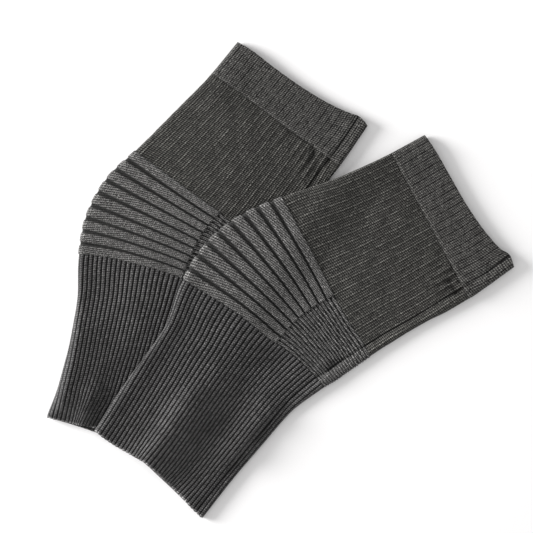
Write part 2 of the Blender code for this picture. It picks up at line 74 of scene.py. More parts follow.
view_x = (PHOTO_SIDE / 2 - ORIGIN_PIXEL[0]) * MM_PER_PIXEL
view_y = (ORIGIN_PIXEL[1] - PHOTO_SIDE / 2) * MM_PER_PIXEL
camera = bpy.data.objects.new("camera", bpy.data.cameras.new("camera"))
bpy.context.scene.collection.objects.link(camera)
camera.location = (view_x * MM, view_y * MM, CAMERA_HEIGHT * MM)
reach = CAMERA_HEIGHT - CLOTH_LEVEL
camera.data.lens = camera.data.sensor_width * reach / (PHOTO_SIDE * MM_PER_PIXEL)
bpy.context.scene.camera = camera
print(f"camera lens {camera.data.lens:.0f} mm")

# %% [markdown]
# ## Colours and nodes
# Colours are written as they are picked, in sRGB hex, and one function turns them to the linear values that
# a shader needs. A second one adds a shader node with its settings and its links, so that a material reads
# as a list of what it is made of. Each node could be made by hand in the shader editor; in code, a change to
# one number reaches every finish that shares it.

# %% Colour and node helpers
def linear(code):
    """An sRGB hex colour as linear red, green, blue and alpha."""
    parts = [int(code[k:k + 2], 16) / 255 for k in (1, 3, 5)]
    return [p / 12.92 if p <= 0.04045 else ((p + 0.055) / 1.055) ** 2.4 for p in parts] + [1.0]


def add_node(tree, kind, settings=None, **inputs):
    """A shader node. Each input is a value, or the output of another node."""
    made = tree.nodes.new(kind)
    for key, value in (settings or {}).items():
        setattr(made, key, value)
    for key, value in inputs.items():
        place = int(key[1:]) if key[1:].isdigit() else key.replace("_", " ")
        if isinstance(value, bpy.types.NodeSocket):
            tree.links.new(value, made.inputs[place])
        else:
            made.inputs[place].default_value = value
    return made


def new_material(name):
    """An empty material: its node tree, and its shader already joined to the output."""
    made = bpy.data.materials.new(name)
    made.use_nodes = True
    return made, made.node_tree, made.node_tree.nodes["Principled BSDF"]


print("mid grey in linear values:", [round(value, 3) for value in linear("#808080")])

# %% [markdown]
# ## The table and the light
# The real table is a sheet of matt white paper, lit until it burns out to pure white. Soft light comes from
# everywhere, and a large window light low on the left, a little to the back, brings out the ribs: it leaves a
# soft grey shadow on the right of each edge, deepest below the back edges, and none on the left. A picture of
# a room could light the scene too, but a disk of light is simpler, and its width alone sets how soft the
# shadows are.

# %% Table
TABLE_SIDE = 6.0

# White paper: bright and matt, with hardly any gloss.
paper, tree, shader = new_material("matt_white_paper")
shader.inputs["Base Color"].default_value = linear("#F2F1F1")
shader.inputs["Roughness"].default_value = 0.9
shader.inputs["Specular IOR Level"].default_value = 0.2
bpy.ops.mesh.primitive_plane_add(size=TABLE_SIDE, location=(0, 0, 0))
table_top = bpy.context.object
table_top.name = "table_top"
table_top.data.materials.append(paper)
print(f"the table is {TABLE_SIDE:.0f} m wide")

# %% Light
SKY_STRENGTH = 0.71
WINDOW_WIDTH = 1.1
WINDOW_DISTANCE = 2.0
WINDOW_AZIMUTH = 165.0      # degrees, from +X round to +Y
WINDOW_ELEVATION = 17.0
WINDOW_WATTS = 86.0

sky = bpy.data.worlds.new("soft_room")
sky.use_nodes = True
sky.node_tree.nodes["Background"].inputs["Color"].default_value = linear("#FFFFFF")
sky.node_tree.nodes["Background"].inputs["Strength"].default_value = SKY_STRENGTH
bpy.context.scene.world = sky

window = bpy.data.objects.new("window_light", bpy.data.lights.new("window_light", "AREA"))
bpy.context.scene.collection.objects.link(window)
window.data.shape = "DISK"
window.data.size = WINDOW_WIDTH
window.data.energy = WINDOW_WATTS
around, up = math.radians(WINDOW_AZIMUTH), math.radians(WINDOW_ELEVATION)
window.location = (WINDOW_DISTANCE * math.cos(up) * math.cos(around),
                   WINDOW_DISTANCE * math.cos(up) * math.sin(around),
                   WINDOW_DISTANCE * math.sin(up))
window.rotation_euler = (math.pi / 2 - up, 0, around + math.pi / 2)
bpy.context.scene.view_settings.view_transform = "Standard"
print("window light from", [round(v, 2) for v in window.location])

# %% [markdown]
# ## How the warmers lie
# Each warmer is a flattened tube. Short tables say where its lines across run, from the knee side to the
# back edge, and everything else is worked out from them. Curves drawn in Blender could say the same, but a
# table is quicker to correct against a photo. These are the same sizes as the solids have, so the fine knit
# lands exactly on its solid.

# %% Sizes
WALL = 2.2                  # one layer of the ribbed knit
BAND_WALL = 3.0             # the band is folded over
LAYER_GAP = 1.0             # air left inside the flattened tube
EDGE_ROUND = 1.15           # a folded side edge reaches this many half-thicknesses in
RIDGE_RISE = 1.4
SEAM_GAP = 0.3              # between one solid and the next

BAND_END = 38.8             # distances down the middle of a warmer, from the band's fold
PANEL_START = 139.2
PANEL_END = 215.9
HEM = 361.3
print(f"a warmer is {HEM:.0f} mm long, and its knee panel {PANEL_END - PANEL_START:.0f} mm")

# %% Lines across each warmer
LINE_COLUMNS = ("along", "knee x", "knee y", "back x", "back y", "bend", "bow")
UPPER_LINES = (
    (0.0, 121.7, 122.2, 197.2, 10.6, 0.0, 0.0),
    (BAND_END, 93.5, 107.1, 159.7, -16.0, 0.0, 0.0),
    (89.0, 48.3, 86.5, 115.6, -40.1, 0.0, 1.0),
    (PANEL_START, 2.4, 70.0, 76.5, -64.6, 0.0, 0.0),
    (163.1, -29.2, 56.5, 59.9, -76.0, 2.9, 1.7),
    (189.7, -60.4, 32.9, 48.2, -84.2, 5.8, 0.9),
    (PANEL_END, -81.4, 0.8, 35.9, -92.6, 8.8, 0.0),
    (249.6, -95.0, -35.7, 10.3, -110.7, 6.5, 0.0),
    (282.8, -113.0, -62.4, -12.4, -136.4, 4.0, 0.0),
    (319.5, -134.1, -91.9, -36.6, -164.6, 1.5, 0.0),
    (HEM, -156.2, -126.7, -65.5, -201.0, 0.0, 0.0),
)
LOWER_LINES = (
    (0.0, -36.3, 200.2, 73.6, 129.3, 0.0, 0.0),
    (BAND_END, -57.6, 174.3, 50.6, 95.8, 0.0, 0.5),
    (89.0, -86.9, 144.2, 20.0, 57.0, 1.5, 0.0),
    (PANEL_START, -122.6, 108.4, -7.5, 19.0, 3.9, -1.5),
    (163.1, -146.1, 86.0, -16.5, 5.5, 5.0, 0.0),
    (189.7, -163.6, 53.7, -25.5, -8.0, 6.1, 1.5),
    (PANEL_END, -169.8, 21.3, -34.1, -21.0, 7.2, 2.5),
    (249.6, -171.0, -15.2, -49.5, -48.0, 5.5, 1.5),
    (282.8, -177.5, -52.3, -63.0, -80.0, 3.5, 0.5),
    (319.5, -187.0, -88.6, -77.0, -114.0, 1.5, 0.0),
    (HEM, -196.9, -115.6, -90.3, -149.2, 0.0, 0.0),
)
print(len(UPPER_LINES) + len(LOWER_LINES), "lines across the two warmers")

# %% [markdown]
# The rim and the hem aren't straight, and the borders of the knee panel bend. These tables say by how many
# millimetres, from the knee side at 0 to the back edge at 1. The split is where the ridges end and the finer
# cross ribs begin, and the fan is how far those ribs spread towards the thigh. The crease runs as many
# millimetres inside the back edge as its inset says. Straight ends would be simpler, but a soft knit that
# is only laid down has none.

# %% Rim and hem
RIM_FADE = 38.0             # the rim's bow fades out over this length
HEM_FADE = 45.0
RIM_COLUMNS = ("across", "upper", "lower")
RIM_ROWS = (
    (0.0, 0.2, 0.6),
    (0.10, 0.3, 1.0),
    (0.30, -1.6, -1.0),
    (0.55, -3.8, -2.1),
    (0.75, -2.9, -0.8),
    (0.86, -0.6, 1.6),
    (0.92, 2.8, 3.4),
    (0.965, 1.4, 2.2),
    (1.0, 0.2, 0.6),
)
HEM_COLUMNS = ("across", "upper", "lower", "upper setback", "lower setback")
HEM_ROWS = (
    (0.0, 0.0, 0.0, 0.0, 0.0),
    (0.15, 0.8, 0.4, 0.0, 0.6),
    (0.30, 3.4, 0.3, 0.2, 2.6),
    (0.42, 5.3, 0.0, 1.0, 3.8),
    (0.55, 4.4, 0.0, 1.4, 4.0),
    (0.75, 2.6, 0.0, 0.8, 3.0),
    (0.90, 0.7, 0.0, 0.2, 1.2),
    (1.0, 0.0, 0.0, 0.0, 0.0),
)
print(f"the calf's upper layer stops up to {max(row[4] for row in HEM_ROWS):.0f} mm short of the under one")

# %% Lines inside the outline
INNER_COLUMNS = ("along", "split", "crease inset")
INNER_ROWS = (
    (0.0, 0.606, 10.0),
    (BAND_END, 0.606, 11.4),
    (60.0, 0.606, 11.0),
    (89.0, 0.606, 9.4),
    (PANEL_START, 0.606, 10.7),
    (PANEL_END, 0.63, 10.6),
    (237.0, 0.63, 9.5),
    (260.0, 0.63, 8.3),
    (HEM, 0.63, 7.8),
)
print(f"the ridges reach {INNER_ROWS[4][1]:.0%} of the way across, and {INNER_ROWS[5][1]:.0%} at the calf")

# %% Borders of the knee panel
PANEL_COLUMNS = ("across", "upper start", "upper end", "lower start", "lower end")
PANEL_ROWS = (
    (0.0, 0.6, 0.0, -0.7, -0.6),
    (0.08, 0.6, 0.0, -1.4, -1.0),
    (0.20, 0.8, -0.6, -1.6, -1.2),
    (0.35, 0.9, -0.8, -1.4, -0.6),
    (0.50, 1.4, 0.9, -0.6, -0.4),
    (0.62, 2.2, 2.5, 0.0, 0.0),
    (0.70, 1.9, 0.0, 0.0, 0.0),
    (0.80, 1.3, -2.0, 0.0, 0.0),
    (0.92, -0.5, -2.9, 0.0, 0.0),
    (1.0, 0.0, -2.6, 0.0, 0.0),
)
PANEL_FADE = 16.0           # its bent borders fade out over this length
FAN_COLUMNS = ("across", "fan")
FAN_ROWS = (
    (0.60, 0.0),
    (0.64, 0.022),
    (0.70, 0.045),
    (0.80, 0.067),
    (0.86, 0.085),
    (1.0, 0.085),
)
print(f"behind the knee the ribs spread by up to {max(row[1] for row in FAN_ROWS):.1%} of the panel's length")

# %% [markdown]
# The last tables say where some of the knit's lines run, as parts of the way across: every eighth repeat of
# the thigh and the band, and every fourth rib of the calf. Each rib could have a row of its own, but between
# two that are placed the others share the room evenly, as they do in the knit.

# %% Lines down each warmer
REPEAT_COLUMNS = ("along", 0, 8, 16)
REPEATS = 44                # repeats all round the thigh and the band
UPPER_REPEATS = (
    (0.0, 0.094, 0.476, 0.839),
    (22.0, 0.094, 0.4705, 0.832),
    (31.0, 0.096, 0.466, 0.821),
    (44.0, 0.100, 0.464, 0.816),
    (62.0, 0.102, 0.467, 0.824),
    (78.0, 0.102, 0.469, 0.834),
    (110.0, 0.0965, 0.470, 0.833),
    (PANEL_START, 0.093, 0.466, 0.834),
)
LOWER_REPEATS = (
    (0.0, 0.084, 0.456, 0.809),
    (22.0, 0.081, 0.451, 0.809),
    (31.0, 0.080, 0.448, 0.802),
    (44.0, 0.088, 0.448, 0.800),
    (62.0, 0.091, 0.453, 0.815),
    (78.0, 0.091, 0.458, 0.821),
    (110.0, 0.088, 0.461, 0.828),
    (PANEL_START, 0.082, 0.458, 0.830),
)
RIB_COLUMNS = ("along", -1, 4, 8, 12, 16, 20, 24, 28, 32)
CALF_RIBS = 78              # ribs all round the calf
UPPER_RIBS = (
    (PANEL_END, 0.019, 0.157, 0.2721, 0.3929, 0.5107, 0.6219, 0.725, 0.8288, 0.9236),
    (240.0, 0.011, 0.1505, 0.2683, 0.3884, 0.507, 0.6219, 0.7272, 0.828, 0.9303),
    (260.0, 0.0119, 0.1512, 0.2698, 0.3936, 0.51, 0.6212, 0.725, 0.8288, 0.9350),
    (280.0, 0.0259, 0.1698, 0.2861, 0.401, 0.5152, 0.6205, 0.725, 0.8273, 0.9330),
    (300.0, 0.0378, 0.1868, 0.301, 0.4122, 0.5234, 0.6271, 0.7287, 0.8317, 0.9355),
    (320.0, 0.0519, 0.2016, 0.3136, 0.4196, 0.533, 0.636, 0.7302, 0.8317, 0.9350),
    (340.0, 0.0586, 0.2061, 0.315, 0.4136, 0.5315, 0.6338, 0.7235, 0.828, 0.9348),
    (HEM, 0.0549, 0.2068, 0.315, 0.400, 0.522, 0.618, 0.704, 0.815, 0.9355),
)
LOWER_RIBS = (
    (PANEL_END, 0.0089, 0.1401, 0.2549, 0.3723, 0.4901, 0.61, 0.72, 0.825, 0.925),
    (240.0, 0.0030, 0.1463, 0.2624, 0.3781, 0.4968, 0.615, 0.725, 0.828, 0.930),
    (260.0, 0.0, 0.1446, 0.2638, 0.3825, 0.4981, 0.615, 0.725, 0.828, 0.933),
    (280.0, 0.0045, 0.153, 0.2678, 0.3852, 0.5021, 0.615, 0.725, 0.828, 0.933),
    (300.0, 0.0138, 0.1632, 0.2753, 0.3843, 0.505, 0.62, 0.728, 0.830, 0.934),
    (320.0, 0.0209, 0.1703, 0.274, 0.3856, 0.505, 0.62, 0.728, 0.830, 0.934),
    (340.0, 0.0351, 0.1841, 0.2640, 0.3650, 0.500, 0.62, 0.725, 0.828, 0.934),
    (HEM, 0.0467, 0.1970, 0.2580, 0.3518, 0.490, 0.61, 0.720, 0.825, 0.934),
)
print(f"{REPEATS} repeats round the thigh and {CALF_RIBS} ribs round the calf")

# %% [markdown]
# A table is read on a smooth curve through its rows, so a few rows give a line with no corners. Straight
# runs from row to row would be simpler, but they would leave kinks in every rib. Three more small functions
# shape soft steps, fading ends and the rounded roof that a bent knit makes.

# %% Reading the tables
FADE_POWER = 1.5


def read(columns, rows, name, place):
    """A table's named column at each place, on a smooth curve through its rows."""
    data = np.array(rows)
    knots, values = data[:, 0], data[:, columns.index(name)]
    slopes = np.gradient(values, knots)
    place = np.clip(np.asarray(place, dtype=float), knots[0], knots[-1])
    i = np.clip(np.searchsorted(knots, place, side="right") - 1, 0, len(knots) - 2)
    span = knots[i + 1] - knots[i]
    t = (place - knots[i]) / span
    cubic = t * t * (3 - 2 * t) * (values[i + 1] - values[i])
    tangents = t * (1 - t) * span * ((1 - t) * slopes[i] - t * slopes[i + 1])
    return values[i] + cubic + tangents


def ease(value):
    """A soft step from 0 to 1."""
    value = np.clip(value, 0.0, 1.0)
    return value * value * (3.0 - 2.0 * value)


def fade(distance, run):
    """1 at no distance, and 0 from the end of the run."""
    return np.clip(1.0 - distance / run, 0.0, 1.0) ** FADE_POWER


def rounded_tent(across, peak, corner=0.12):
    """Rises to 1 at the peak and falls again, with its corner rounded."""
    rise, fall = across / peak, (1.0 - across) / (1.0 - peak)
    blend = np.maximum(corner - np.abs(rise - fall), 0.0) / corner
    return np.minimum(rise, fall) - blend * blend * corner / 4.0


steps = np.linspace(0.0, 1.0, 50)
print(f"the upper rim bows in by {-read(RIM_COLUMNS, RIM_ROWS, 'upper', steps).min():.1f} mm")

# %% [markdown]
# Real knit is never even. This ripple is a smooth unevenness over a plane, the same at each run because its
# seed is fixed. It moves ribs a little sideways and lets some stand taller than others. A noise texture would
# do as well in a shader, but here the points themselves have to move.

# %% Unevenness
WAVES = 7


def ripple(x, y, length, seed):
    """Smooth unevenness over a plane, mostly between -1 and 1, with waves about one length long."""
    random = np.random.default_rng(seed)
    total = 0.0
    for _ in range(WAVES):
        angle, start = random.uniform(0.0, 2 * math.pi, 2)
        wave = 2 * math.pi / (length * random.uniform(0.7, 1.4))
        total = total + np.sin(wave * (x * math.cos(angle) + y * math.sin(angle)) + start)
    return total / math.sqrt(WAVES)


print("unevenness along a line:", ripple(np.arange(4.0), 0.0, length=10.0, seed=1).round(2))

# %% [markdown]
# ## Soft folds
# A flattened tube is never quite flat. The light in the photo shows where the cloth swells and sinks: a row
# here is one soft crest that runs down the tube, with its ends, its two flanks and its height. A second table
# holds short sharp folds and hollows, where the chain gathers the knit and behind the knee. A cloth
# simulation could make such swellings, but not where the photo has them, so they are placed one by one. Only
# the upper layer swells, so the underside stays flat on the table.

# %% Soft crests
FOLD_COLUMNS = ("from", "to", "across at from", "across at to", "knee flank", "back flank", "height")
FOLD_END = 16.0             # a crest fades out over this length
UPPER_FOLDS = (
    (224.0, 400.0, 0.024, 0.046, 3.5, 9.0, 2.6),        # the rolled knee side of the calf
    (300.0, 400.0, 0.430, 0.450, 11.0, 18.0, 9.0),      # the crest before the calf's wide dark trough
    (266.0, 302.0, 0.885, 0.885, 15.0, 5.0, 7.0),       # the calf's light swelling beside the crease
    (312.0, 400.0, 0.885, 0.880, 12.0, 7.0, 2.0),       # and on to the hem
    (60.0, 120.0, 0.40, 0.40, 40.0, 40.0, 2.0),         # the full middle of the thigh
    (-40.0, 60.0, 0.08, 0.10, 9.0, 16.0, 1.0),          # the band's knee side
    (-40.0, 205.0, 0.965, 0.965, 4.0, 5.0, 1.3),        # the strip beyond the crease is a soft roll
    (205.0, 400.0, 0.965, 0.968, 3.5, 4.0, 0.7),
)
LOWER_FOLDS = (
    (224.0, 400.0, 0.018, 0.040, 3.0, 8.0, 2.2),        # the rolled knee side of the calf
    (275.0, 335.0, 0.060, 0.080, 6.0, 25.0, 9.0),       # it stands up, and the calf sinks beside it
    (322.0, 400.0, 0.268, 0.268, 7.0, 5.5, 4.2),        # the crest beside the upper warmer's hem
    (226.0, 290.0, 0.42, 0.40, 24.0, 14.0, 2.0),        # the calf below the ridges
    (60.0, 120.0, 0.40, 0.40, 40.0, 40.0, 2.0),         # the full middle of the thigh
    (-40.0, 60.0, 0.10, 0.12, 9.0, 16.0, 1.0),          # the band's knee side
    (-40.0, 40.0, 0.965, 0.965, 4.0, 5.0, 1.0),         # the strip beyond the crease
)


def swelling(rows, width, along, across):
    """The height of all of a warmer's soft crests at places on it."""
    total = 0.0
    for row in rows:
        fold = dict(zip(FOLD_COLUMNS, row))
        part = (along - fold["from"]) / (fold["to"] - fold["from"])
        middle = fold["across at from"] + (fold["across at to"] - fold["across at from"]) * part
        aside = (across - middle) * width
        flank = np.where(aside < 0.0, fold["knee flank"], fold["back flank"])
        beyond = np.maximum(np.maximum(fold["from"] - along, along - fold["to"]), 0.0)
        total = total + fold["height"] * np.exp(-(aside / flank) ** 2 - (beyond / FOLD_END) ** 2)
    return total


print(len(UPPER_FOLDS), "soft crests on the upper warmer and", len(LOWER_FOLDS), "on the lower one")

# %% Short sharp folds
SHORT_COLUMNS = ("from along", "from across", "to along", "to across", "half width", "height")
UPPER_SHORT = (
    (271.5, 0.825, 272.5, 0.905, 2.0, 1.4),             # a small fold across the calf
    (39.5, 0.70, 56.0, 0.69, 1.6, 0.5),                 # the chain gathers the thigh
    (41.5, 0.772, 60.0, 0.765, 1.6, 0.8),
    (41.0, 0.818, 64.0, 0.807, 1.6, 0.9),
    (43.0, 0.868, 68.0, 0.850, 1.6, 0.9),
    (46.5, 0.84, 46.0, 0.93, 1.7, -0.8),                # a hollow where the chain meets the crease
    (38.0, 0.895, 38.0, 0.95, 2.0, 1.3),                # and the knot of the chain beyond it
    (186.0, 0.895, 203.0, 0.888, 4.0, 1.6),             # the back of the knee puffs out
    (166.0, 0.915, 192.0, 0.917, 3.0, -0.9),
    (197.0, 0.955, 206.0, 0.955, 2.6, 1.2),             # and so does the strip beyond its crease
)
LOWER_SHORT = (
    (40.5, 0.696, 38.0, 0.740, 1.2, -0.5),              # the outermost wales bend round below the chain
    (38.0, 0.740, 37.5, 0.785, 1.2, -0.6),
    (37.5, 0.785, 44.0, 0.822, 1.2, -0.7),
    (44.0, 0.822, 60.0, 0.826, 1.2, -0.3),
    (41.5, 0.700, 40.5, 0.770, 1.6, 0.7),
    (40.5, 0.770, 48.0, 0.800, 1.6, 0.8),
    (48.0, 0.800, 68.0, 0.806, 1.6, 0.7),
    (39.0, 0.858, 64.0, 0.858, 1.8, 0.9),
    (42.0, 0.60, 58.0, 0.595, 1.7, 0.5),
    (42.0, 0.655, 60.0, 0.650, 1.7, 0.5),
    (43.0, 0.715, 62.0, 0.705, 1.7, 0.5),
    (46.0, 0.762, 66.0, 0.755, 1.7, 0.5),
    (38.5, 0.890, 44.0, 0.889, 2.2, 1.0),               # the knot of the chain
)


def gathers(rows, width, along, across):
    """The height of a warmer's short sharp folds, each a soft ridge round a line between two places."""
    total = 0.0
    for row in rows:
        fold = dict(zip(SHORT_COLUMNS, row))
        run_along = fold["to along"] - fold["from along"]
        run_across = (fold["to across"] - fold["from across"]) * width
        along_it = along - fold["from along"]
        across_it = (across - fold["from across"]) * width
        part = (along_it * run_along + across_it * run_across) / (run_along ** 2 + run_across ** 2)
        part = np.clip(part, 0.0, 1.0)
        away = (along_it - part * run_along) ** 2 + (across_it - part * run_across) ** 2
        total = total + fold["height"] * np.exp(-away / fold["half width"] ** 2)
    return total


print(len(UPPER_SHORT), "short folds on the upper warmer and", len(LOWER_SHORT), "on the lower one")

# %% [markdown]
# ## Where the cloth lies
# A place on a warmer is two numbers: how far down it is, in millimetres, and what part of the way across.
# A small class answers where such a place lies on the table. Plain functions could do that too, but a class
# keeps each warmer's own tables together.

# %% How one warmer lies
OUTLINE_STEPS = 48          # places on each side of a warmer's outline


class Lie:
    """How one warmer lies: its lines across and down it, the ground that carries it, and its soft folds."""

    def __init__(self, name, lines, repeats, ribs, ground, folds, short_folds):
        self.name = name
        self.lines = lines
        self.repeats = repeats
        self.ribs = ribs
        self.ground = ground
        self.folds = folds
        self.short_folds = short_folds

    def line(self, name, along):
        """A column of the table of lines across."""
        return read(LINE_COLUMNS, self.lines, name, along)

    def width(self, along):
        """How wide the warmer lies, in millimetres."""
        run_x = self.line("back x", along) - self.line("knee x", along)
        run_y = self.line("back y", along) - self.line("knee y", along)
        return np.hypot(run_x, run_y)

    def plan(self, along, across, shift=0.0):
        """Points a part of the way across their lines, moved by shift towards the band."""
        along, across = np.broadcast_arrays(np.asarray(along, float), np.asarray(across, float))
        knee_x, knee_y = self.line("knee x", along), self.line("knee y", along)
        run_x, run_y = self.line("back x", along) - knee_x, self.line("back y", along) - knee_y
        length = np.hypot(run_x, run_y)
        split = read(INNER_COLUMNS, INNER_ROWS, "split", along)
        part = np.clip(across / split, 0.0, 1.0)
        rise = self.line("bend", along) * rounded_tent(across, split)
        rise = rise + self.line("bow", along) * 4.0 * part * (1.0 - part)
        rise = rise + fade(along, RIM_FADE) * read(RIM_COLUMNS, RIM_ROWS, self.name, across)
        rise = rise + fade(HEM - along, HEM_FADE) * read(HEM_COLUMNS, HEM_ROWS, self.name, across) + shift
        for border, name in ((PANEL_START, "start"), (PANEL_END, "end")):
            near_border = np.exp(-((along - border) / PANEL_FADE) ** 2)
            rise = rise - near_border * read(PANEL_COLUMNS, PANEL_ROWS, f"{self.name} {name}", across)
        x = knee_x + run_x * across - run_y / length * rise
        y = knee_y + run_y * across + run_x / length * rise
        return x, y

    def outline(self):
        """The flat outline: down the knee side, then back up the other side."""
        steps = np.linspace(0.0, HEM, OUTLINE_STEPS + 1)
        sides = [self.plan(steps, 0.0), self.plan(steps[::-1], 1.0)]
        return np.concatenate([np.stack(side, axis=-1) for side in sides])


print("an outline runs through", 2 * (OUTLINE_STEPS + 1), "points")

# %% [markdown]
# The lower warmer lies on the table. The upper one lies on both: over the lower warmer it is lifted by its
# thickness, and a little outside its outline it eases down to the table. A simulation could drape it, but it
# would slide off its solid. The distance to the lower warmer's outline gives the same soft fall in place.

# %% Ground under a warmer
DRAPE_START = 3.0           # the upper warmer starts down to the table this far outside the lower one
DRAPE_RUN = 42.0


def table(x, y):
    """The ground that the flat table makes."""
    return np.zeros_like(x)


def over(lie, height):
    """The ground that another warmer makes: its top inside its outline, and a soft fall outside."""
    starts = lie.outline()
    runs = np.roll(starts, -1, axis=0) - starts

    def ground(x, y):
        nearest = np.full(np.shape(x), np.inf)
        crossings = np.zeros(np.shape(x), int)
        for (start_x, start_y), (run_x, run_y) in zip(starts, runs):
            from_x, from_y = x - start_x, y - start_y
            part = np.clip((from_x * run_x + from_y * run_y) / (run_x ** 2 + run_y ** 2), 0.0, 1.0)
            nearest = np.minimum(nearest, (from_x - run_x * part) ** 2 + (from_y - run_y * part) ** 2)
            crosses = (from_y >= 0) == (from_y < run_y)
            slope = run_x / run_y if run_y else 0.0
            crossings += crosses & (from_x < from_y * slope)
        outside = np.where(crossings % 2 == 1, 0.0, np.sqrt(nearest))
        return height * (1.0 - ease((outside - DRAPE_START) / DRAPE_RUN))

    return ground


def thickness(wall):
    """How thick a flattened tube is, with the air inside it."""
    return 2 * wall + LAYER_GAP


print(f"two layers of cloth with air between them are {thickness(WALL):.1f} mm thick")

# %% Both warmers
lower = Lie("lower", LOWER_LINES, LOWER_REPEATS, LOWER_RIBS, table, LOWER_FOLDS, LOWER_SHORT)
upper_ground = over(lower, thickness(WALL) + RIDGE_RISE + SEAM_GAP)
upper = Lie("upper", UPPER_LINES, UPPER_REPEATS, UPPER_RIBS, upper_ground, UPPER_FOLDS, UPPER_SHORT)
print(f"the upper warmer lies up to {upper.ground(np.array([-60.0]), np.array([0.0]))[0]:.1f} mm high")

# %% [markdown]
# ## Round a tube
# A place round a flattened tube is a distance in millimetres, from where its upper side starts beside the
# knee: over the top, round the back edge, back along the underside and round the knee edge. Each place
# knows how far across it is and which way the cloth faces there. A curve with a flat bevel could make such a
# tube, but its rows and columns would be even, and the knit's are not.

# %% Places round a tube
FLAT_TOP = 0.99             # the cloth faces up more than this only on the flat upper side
UNDERSIDE = -0.5            # and less than this on the underside, which rests flat


class Round:
    """Where points lie round a tube, worked out from their distances round it."""

    def __init__(self, lie, along, arc, wall):
        self.lie, self.wall = lie, wall
        self.along = np.broadcast_to(along, arc.shape)
        self.width = lie.width(self.along)
        start = thickness(wall) / 2 * EDGE_ROUND
        top, edge = self.spans(lie, self.along, wall)
        at = np.mod(arc, 2 * (top + edge))
        zones = [at <= top, at <= top + edge, at <= 2 * top + edge]
        self.part = np.select(zones, [at / top, 1.0, 2.0 - (at - edge) / top], 0.0)
        turned = np.select(zones, [90.0, 90.0 - 180.0 * (at - top) / edge, -90.0],
                           180.0 * (at - 2 * top - edge) / edge - 90.0)
        self.up = np.sin(np.radians(turned))
        self.out = np.cos(np.radians(turned)) * np.where(at <= 2 * top + edge, 1.0, -1.0)
        self.across = (start + top * self.part) / self.width

    @staticmethod
    def spans(lie, along, wall):
        """The length of the flat upper side and of one round edge."""
        half = thickness(wall) / 2
        return lie.width(along) - 2 * half * EDGE_ROUND, math.pi * half

    def pick(self, rows, columns):
        """The same, for fewer rows and columns."""
        fewer = object.__new__(Round)
        fewer.lie, fewer.wall = self.lie, self.wall
        for name in ("along", "width", "part", "up", "out", "across"):
            setattr(fewer, name, getattr(self, name)[np.ix_(rows, columns)])
        return fewer

    def lay(self, relief=0.0, rise=0.0, swell=0.0, shift=0.0, squash=0.0, inside=False):
        """Points in millimetres. Relief is how far the knit stands out from its plain form."""
        half = thickness(self.wall) / 2
        start = self.wall + LAYER_GAP if inside else half * EDGE_ROUND
        reach, lift = (LAYER_GAP, LAYER_GAP / 2) if inside else (half * EDGE_ROUND, half)
        low = start / self.width
        across = low + (1.0 - 2 * low) * self.part
        across = across + self.out * (reach + relief - rise * (1.0 - swell)) / self.width
        x, y = self.lie.plan(self.along, across, shift)
        height = lift * self.up * (1.0 - squash) + relief * self.up + rise * (1.0 - self.up) / 2
        fold = swelling(self.lie.folds, self.width, self.along, across)
        fold = fold + gathers(self.lie.short_folds, self.width, self.along, across)
        fold = fold * (1.0 + self.up) / 2
        return np.stack([x, y, self.lie.ground(x, y) + half + height + fold], axis=-1)


print(f"the upper warmer's hem is {2 * sum(Round.spans(upper, HEM, WALL)):.0f} mm round")

# %% [markdown]
# ## Following the knit
# A knitter counts ribs, and so does this lesson: a place is a count of ribs, or of the thigh's repeats. The
# tables say where every few of them run on the side that shows. Ribs could be spaced evenly instead, but the
# tubes are a little twisted and stretched, so near the hem two ribs have rolled over the knee edge from
# underneath. The rest share the underside.

# %% From counts to distances
def knit_distances(lie, along, places, columns, rows, total, wall):
    """How far round the tube each place of the knit lies, row by row."""
    counts = np.array(columns[1:], dtype=float)
    start = thickness(wall) / 2 * EDGE_ROUND
    result = []
    for row in along:
        top, edge = Round.spans(lie, row, wall)
        values = np.array([read(columns, rows, count, row) for count in columns[1:]])
        values = values * lie.width(row) - start
        whole = 2 * (top + edge)
        knots = [(counts[-1] - total, values[-1] - whole)]
        knots += list(zip(counts, values))
        knots += [(counts[0] + total, values[0] + whole), (counts[1] + total, values[1] + whole)]
        result.append(read(("count", "distance"), knots, "distance", places))
    return np.array(result)


def count_places(first, fine_until, total, fine, coarse):
    """Places round a tube: some for each count, more of them on the side that shows."""
    return np.array([k + s for k in range(first, first + total)
                     for s in (fine if k < fine_until else coarse)])


first_ribs = knit_distances(upper, [HEM], np.arange(3.0), RIB_COLUMNS, UPPER_RIBS, CALF_RIBS, WALL)
print("from the knee side, the hem's first ribs lie at", first_ribs[0].round(1), "mm")

# %% [markdown]
# ## One piece of knit
# Each piece is a closed shell: a fine outer face, a coarse plain inner face, and cut rims between them. A
# Solidify modifier would thicken the outer face, but it would give the inside, which hardly shows, as many
# faces. Here the inner face takes only some of the outer one's rows and columns, so a rim is a fan of
# triangles for each of its points. Each corner keeps its place in the knit: its count round the tube, and how
# many millimetres down the tube it is. The stitches in the materials are counted on these.

# %% Faces of a shell
def grid_faces(first, rows, columns, closed):
    """Quads of a grid of points, and which of their corners have gone right round."""
    i = np.arange(rows - 1)[:, None]
    j = np.arange(columns if closed else columns - 1)[None, :]
    after = (j + 1) % columns
    corners = [i * columns + j, (i + 1) * columns + j, (i + 1) * columns + after, i * columns + after]
    quads = np.stack([np.broadcast_to(c, (rows - 1, j.size)) for c in corners], axis=-1).reshape(-1, 4)
    gone_round = np.broadcast_to((j + 1 == columns)[..., None] & np.array([False, False, True, True]),
                                 (rows - 1, j.size, 4)).reshape(-1, 4)
    return first + quads, gone_round


